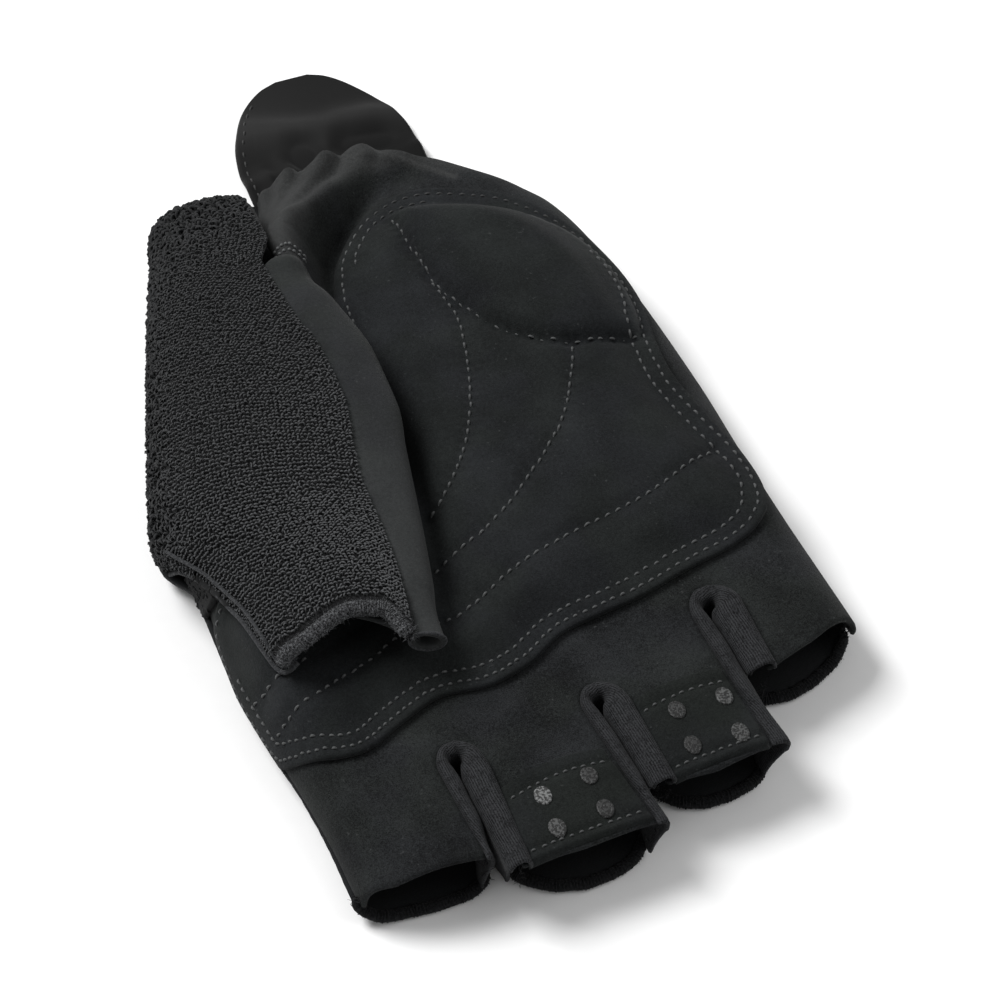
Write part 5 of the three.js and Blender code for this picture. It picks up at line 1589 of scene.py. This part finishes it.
def make_lip():
    """Two smooth cords along the thumb's free edge, which turn in under the binding's end."""
    station = np.linspace(9.45, THUMB_LAST, 60)
    start = terry_start(station)
    hook = np.array([(-49.4, -27.3, 17.0), (-48.6, -28.5, 17.1), (-47.4, -28.8, 17.7),
                     (-46.0, -28.4, 18.6)])
    outer = thumb_point(station, start + 0.02) + np.array([-0.25, 0.1, -0.2])
    inner = thumb_point(station, np.maximum(start + 0.2, 0.14)) + np.array([-0.1, 0, 0.25])
    outer = smooth_line(np.vstack([outer[::6], hook]), 0.35)
    inner = smooth_line(np.vstack([inner[::6][1:], hook[1:] + np.array([0.1, 0.9, 0.5])]), 0.35)
    cord = lambda line, radius: tube_mesh(line[None], (0, 0, 1), np.full((1, len(line)), radius), 8)
    new_piece("thumb_lip", joined(cord(outer, 0.42), cord(inner, 0.34)), LIP, "binding")


make_binding()
make_lip()

# %% [markdown]
# An overlocked hem runs along each finger's mouth at the back: a thin roll with wraps and a few fibres.
# At the corners loose ends of its thread stand up, as a worn overlock seam's do.

# %% The hems
CORNERS = {
    "index": ([(-49.0, -69.4, 8.4), (-49.2, -69.2, 6), (-49.2, -68.9, 3.6)],
              [(-28.2, -71.2, 2.4), (-28.3, -71.4, 10)]),
    "middle": ([(-23.6, -74.8, 9.2), (-23.6, -74.2, 6.4), (-23.4, -73.2, 3.4)],
               [(-0.2, -73.0, 2.4), (0.2, -74.0, 9.6)]),
    "ring": ([(5.0, -67.2, 9.0), (4.8, -66.6, 6.2), (4.7, -65.4, 3.4)],
             [(24.8, -63.8, 2.4), (25.2, -65.6, 9.6)]),
    "little": ([(29.2, -51.6, 9.4), (28.8, -51.4, 6.4), (28.6, -51.0, 3.4)],
               [(47.2, -43.4, 3.6), (47.2, -44.2, 7.4)]),
}
HEM_TAPER = 2.6
HEM_CLIMB = np.array([(0.2, 0.5, 1.6), (0.0, 0.2, 0.6)])
HEMS = {"index": (-49.6, -27.6), "middle": (-23.0, 0.5), "ring": (5.2, 25.6), "little": (28.6, 46.9)}


def make_hem(name, left, right):
    x, y = across_line(set_back(BACK_MOUTHS, HEM), left, right, 60).T
    lift = column(HAND, "seam", y) * turned_up(x, y)
    route = np.stack([x, y, 1.1 * HEM + lift], axis=1)
    first, last = route[0] + HEM_CLIMB, route[-1] + HEM_CLIMB[::-1] * (-1, 1, 1)
    route = smooth_line(np.vstack([first, route[3:-3:6], last]), 0.4)
    mesh, along = wrapped_roll(route, HEM, 1.5, 0.02, sides=12, taper=HEM_TAPER)
    piece = new_piece("hem_roll_" + name, mesh, HEM_KNIT, "binding", along=along)
    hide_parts("hem_" + name)
    parts = [wraps(route, HEM, 0.55, 0.1, taper=HEM_TAPER), fibres(route, HEM, 260, 0.5)]
    parts += [fibres(np.array(corner), 0.4, 16, 0.35, 0.08, 2.2) for corner in CORNERS[name]]
    new_piece("hem_threads_" + name, joined(*parts), HEM_KNIT, "binding", along=0.0)


for name, ends in HEMS.items():
    make_hem(name, *ends)

# %% [markdown]
# On the two middle fingers a thin suede patch carries printed silicone dots for grip. A row of stitches
# holds its far edge and another its near edge, and the suede puffs slightly between them. A dot is a
# low disc with a rounded shoulder, which catches the only sharp highlights of the glove.

# %% The grip patches and dots
# The third number of each dot is its painted light: a painted highlight on the bright dots, painted shade
# on the dull ones.
GRIPS = {
    "middle": {"far": ((-21.8, -60.6), (-3.4, -58.7)), "near": ((-22.5, -75.9),
    (-0.4, -74.5)), "bow": 1.2,
               "dots": ((-16.0, -64.5, 1.0), (-7.5, -63.3, 0.2), (-16.0, -71.2, 0.39),
               (-7.3, -70.3, 0.145))},
    "ring": {"far": ((4.9, -51.4), (20.9, -50.0)), "near": ((5.9, -68.4), (23.1, -66.9)), "bow": 0.9,
             "dots": ((10.9, -55.9, 0.17), (19.4, -55.8, 0.48), (10.8, -63.3, 0.125),
             (19.2, -63.5, 0.38))},
}
GRIP_ROWS = {"far": 2.7, "near": 2.2}
GRIP_PUFF = {"high": 0.75, "stitched": 0.35, "wide": 0.9, "rolled": 1.2, "roll": 1.1}
GRIP_GRID = (50, 60)
DOT = {"radius": 1.48, "stretch": 1.27, "points": 40}
DOT_PROFILE = np.array([(1.0, -0.35), (1.0, 0.12), (0.95, 0.27), (0.86, 0.33), (0.7, 0.31), (0.45, 0.32),
                        (0.2, 0.33)])


def grip_surface(name):
    """The upper face of a grip patch, as a function of the place and the lift above it."""
    rows = grip_rows(name)
    near = spaced(np.array(GRIPS[name]["near"], float), 1.0)

    def surface(x, y, lift):
        puff = GRIP_PUFF["high"]
        for row in rows:
            away, _, _ = nearest_on(row, x, y)
            puff = puff - GRIP_PUFF["stitched"] * np.exp(-((away / GRIP_PUFF["wide"]) ** 2))
        edge, _, _ = nearest_on(near, x, y)
        puff = puff - GRIP_PUFF["rolled"] * (1 - np.clip(edge / GRIP_PUFF["roll"], 0, 1)) ** 2
        return np.stack([x, y, palm_height(x, y) + GAP / 2 + puff + lift], axis=-1)
    return surface


def grip_edge(name, which, t):
    """A point of the patch's far or near edge, t from 0 to 1; the far edge bows towards the wrist."""
    a, b = np.array(GRIPS[name][which], float)
    point = mix(a, b, np.asarray(t)[..., None])
    bow = GRIPS[name]["bow"] if which == "far" else 0
    point[..., 1] += bow * np.sin(math.pi * np.asarray(t))
    return point


def grip_rows(name):
    """The two rows of stitches, as lines across the patch."""
    t = np.linspace(0.03, 0.97, 30)
    far, near = grip_edge(name, "far", t), grip_edge(name, "near", t)
    down = unit(near - far)
    return [far + down * GRIP_ROWS["far"], near - down * GRIP_ROWS["near"]]


def make_grip(name):
    rows, columns = GRIP_GRID
    u, v = np.linspace(0, 1, rows)[:, None], np.linspace(0, 1, columns)[None, :, None]
    xy = mix(grip_edge(name, "near", u), grip_edge(name, "far", u), v)
    x, y = xy.reshape(-1, 2).T
    surface = grip_surface(name)
    top = surface(x, y, 0)
    faces = facing(top, grid_faces(rows, columns))
    below = np.stack([x, y, np.minimum(palm_height(x, y) + 0.08, top[:, 2] - 0.4)], axis=1)
    mesh, groups, _ = sheet_mesh(top, faces, 0.7, 0.25, behind=below)
    piece = new_piece("grip_suede_" + name, (mesh, groups), PATCH_SUEDE, "grip_suede")
    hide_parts("grip_patch_" + name)
    min(face_area(top, faces), 0.00039)
    for number, (x, y, bright) in enumerate(GRIPS[name]["dots"], 1):
        make_dot(f"{name}_{number}", x, y, bright, surface)


def make_dot(name, x, y, bright, surface):
    """A printed dot: flat on top, with a soft edge and a faint rim."""
    count, rings = DOT["points"], len(DOT_PROFILE)
    turn = np.linspace(0, 2 * math.pi, count, endpoint=False)[None, :]
    radius, lift = DOT_PROFILE[:, :1] * DOT["radius"], DOT_PROFILE[:, 1:]
    points = surface(x + radius * np.cos(turn), y + radius * np.sin(turn) * DOT["stretch"], lift)
    walls = grid_faces(rings, count, wrapped=True)[:, ::-1]
    bottom = np.arange(count)[None, ::-1]
    top = np.arange(count)[None, :] + (rings - 1) * count
    mesh = points.reshape(-1, 3), [walls, top, bottom]
    piece = new_piece("dot_" + name, mesh, SILICONE, "silicone", bright=bright)
    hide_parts("grip_dot_" + name)


def make_grip_stitches():
    rows = []
    for name in GRIPS:
        surface = grip_surface(name)
        rows += [stitches(row, surface, pitch=1.6, radius=0.21) for row in grip_rows(name)]
    new_piece("grip_stitches", joined(*rows), THREAD, "grip_suede", bright=0.9)


for name in GRIPS:
    make_grip(name)
make_grip_stitches()

# %% [markdown]
# The pull tab is smooth softshell, cut round, and it flops down from the wrist in soft waves. Stitches
# run along its edge. A bar tack, two short rows of close stitches, holds the thumb's strip to the
# wrist; it is made here too, because it needs the same thread maker and lies on the cuff.

# %% The pull tab
PULL = table(
    "at left right",
    (85, -15.0, 16.4),
    (89, -16.2, 17.6),
    (97, -16.0, 17.8),
    (103.4, -15.1, 16.3),
    (109, -13.2, 14.0),
    (113, -11.2, 11.6),
    (116, -8.8, 9.4),
    (118.4, -5.8, 6.8),
    (119.7, -2.4, 4.0),
)
PULL_DOWN = {"from": 92.8, "to": 98.5, "wave": 1.3, "end": 119}
TAB_THICK = 1.5
TAB_GRID = 90
TAB_HIGHLIGHT_WIDE = 4
TAB_FOLDS = {
    "crest": (3.4, [(-15, 108.8, 0.4), (-10.3, 108.2, 1.2), (-5.8, 106.4, 1.7), (-1.3, 104.8, 1.8),
                    (2.5, 104.0, 1.5),
                    (6.3, 104.2, 1.6), (11.5, 103.8, 1.7), (17.7, 102.4, 1.2)]),
    "fold_1": (1.6, [(-11.5, 88, 1.2), (-11.8, 95, 1.0), (-12.5, 100, 0)]),
    "fold_2": (1.5, [(-6.6, 88, 1.4), (-7.4, 96, 1.2), (-8.2, 102, 0)]),
    "fold_3": (1.7, [(-0.6, 88, 1.6), (0.6, 96, 1.4), (2.6, 102.5, 0.2)]),
    "hollow_1": (2.6, [(-3.2, 101.5, -1.2), (-3.6, 96, -1.2)]),
    "hollow_2": (3.2, [(6, 100.6, -1.3), (11, 98.5, -1.4), (12, 95, -0.8)]),
}


def tab_height(x, y):
    """The lower face of the pull tab."""
    flop = PULL_DOWN["wave"] * ramp(94, 104, y) * (1 - ramp(104, PULL_DOWN["end"], y))
    flop = flop * (0.6 + 0.4 * np.sin(x / 5))
    height = mix(2.0, 0.2, ramp(PULL_DOWN["from"], PULL_DOWN["to"], y)) + flop * 0.6
    for spread, line in TAB_FOLDS.values():
        away, value, _ = nearest_on(line, x, y)
        height = height + value * np.exp(-((away / spread) ** 2))
    return np.maximum(height, 0.02)


def make_tab():
    share = np.linspace(0, 1, TAB_GRID)
    y = mix(PULL["at"][0], PULL["at"][-1], 1 - (1 - share[:, None]) ** 1.5)
    x = mix(column(PULL, "left", y), column(PULL, "right", y), share[None, :])
    y = np.broadcast_to(y, x.shape)
    points = np.stack([x, y, tab_height(x, y) + TAB_THICK], axis=2).reshape(-1, 3)
    faces = facing(points, grid_faces(TAB_GRID, TAB_GRID))
    mesh, groups, _ = sheet_mesh(points, faces, TAB_THICK)
    mesh[:, 2] = np.maximum(mesh[:, 2], 0)
    x, y, _ = mesh.T
    away, _, _ = nearest_on(TAB_FOLDS["crest"][1], x, y)
    # Painted highlight along the crest of the tab's fold, towards its far end and on its left part; the low
    # part near the wrist stays dark as painted shade under the cuff's folds.
    bright = 0.3 * ramp(103, 109, y + 0.18 * x) + 0.75 * np.exp(-((away / TAB_HIGHLIGHT_WIDE) ** 2))
    bright = bright + 0.25 * ramp(8, -12, x) * ramp(92, 97, y)
    piece = new_piece("pull_tab_cloth", (mesh, groups), SOFTSHELL, "softshell", bright=bright)
    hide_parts("pull_tab")
    face_area(points, faces)


TACK_ROWS = [[(-21.0, 62.4), (-17.8, 63.4), (-14.4, 62.8)], [(-21.2, 61.0), (-17.8, 61.9), (-14.8, 61.4)]]
TAB_SEAM = {"from": 89, "to": 115.5, "inset": 1.1}


def on_tab(x, y, lift):
    return np.stack([x, y, tab_height(x, y) + TAB_THICK + lift], axis=-1)


def on_cuff(x, y, lift):
    return np.stack([x, y, palm_height(x, y) + lift], axis=-1)


def make_tack():
    rows = [stitches(row, on_cuff, pitch=0.85, radius=0.26, share=0.6) for row in TACK_ROWS]
    new_piece("bar_tack", joined(*rows), TACK_THREAD, "suede", bright=1.0)


def make_tab_stitches():
    y = np.linspace(TAB_SEAM["from"], TAB_SEAM["to"], 60)
    edge = np.stack([column(PULL, "left", y) + TAB_SEAM["inset"], y], axis=1)
    row = stitches(edge, on_tab, pitch=2.4, radius=0.2)
    new_piece("tab_stitches", row, TAB_THREAD, "softshell", bright=0.6)


make_tab()
make_tack()
make_tab_stitches()

# %% [markdown]
# The floor is plain and nearly white, and the light is one wide soft box overhead with weak fill, so
# that the black cloth shows its form by soft steps of grey and by the pale edge of its nap. A small
# lamp would draw hard shadows that the photograph doesn't have.

# %% Floor and light
FLOOR_HALF = 2.5


def plain_floor():
    mesh = bpy.data.meshes.new("floor")
    corners = [(x * FLOOR_HALF, y * FLOOR_HALF, 0) for x, y in ((-1, -1), (1, -1), (1, 1), (-1, 1))]
    mesh.from_pydata(corners, [], [(0, 1, 2, 3)])
    floor = bpy.data.objects.new("floor", mesh)
    bpy.context.scene.collection.objects.link(floor)
    paper = Finish("floor_paper")
    grain = paper.noise(4.0, 2, 0.5)
    colour = paper.colour(grain, (0.9, 0.9, 0.9), (0.93, 0.93, 0.93))
    mesh.materials.append(paper.finished(colour, 0.9, grain, 0.01))


def soft_box(name, place, size, watts):
    light = bpy.data.lights.new(name, "AREA")
    light.shape = "SQUARE"
    light.size = size
    light.energy = watts
    box = bpy.data.objects.new(name, light)
    bpy.context.scene.collection.objects.link(box)
    box.location = place
    box.rotation_euler = (-Vector(place)).to_track_quat("-Z", "Y").to_euler()


def white_studio(strength):
    """An even white world, which fills the shadows."""
    world = bpy.data.worlds.new("studio")
    world.use_nodes = True
    background = world.node_tree.nodes["Background"]
    background.inputs["Color"].default_value = (1, 1, 1, 1)
    background.inputs["Strength"].default_value = strength
    bpy.context.scene.world = world
    bpy.context.scene.view_settings.view_transform = "Standard"


plain_floor()
soft_box("key", (-0.55, 0.55, 0.95), size=0.55, watts=17)
soft_box("fill", (0.7, -0.3, 0.8), size=0.8, watts=3)
white_studio(0.35)
print("floor, two lights and a white studio")
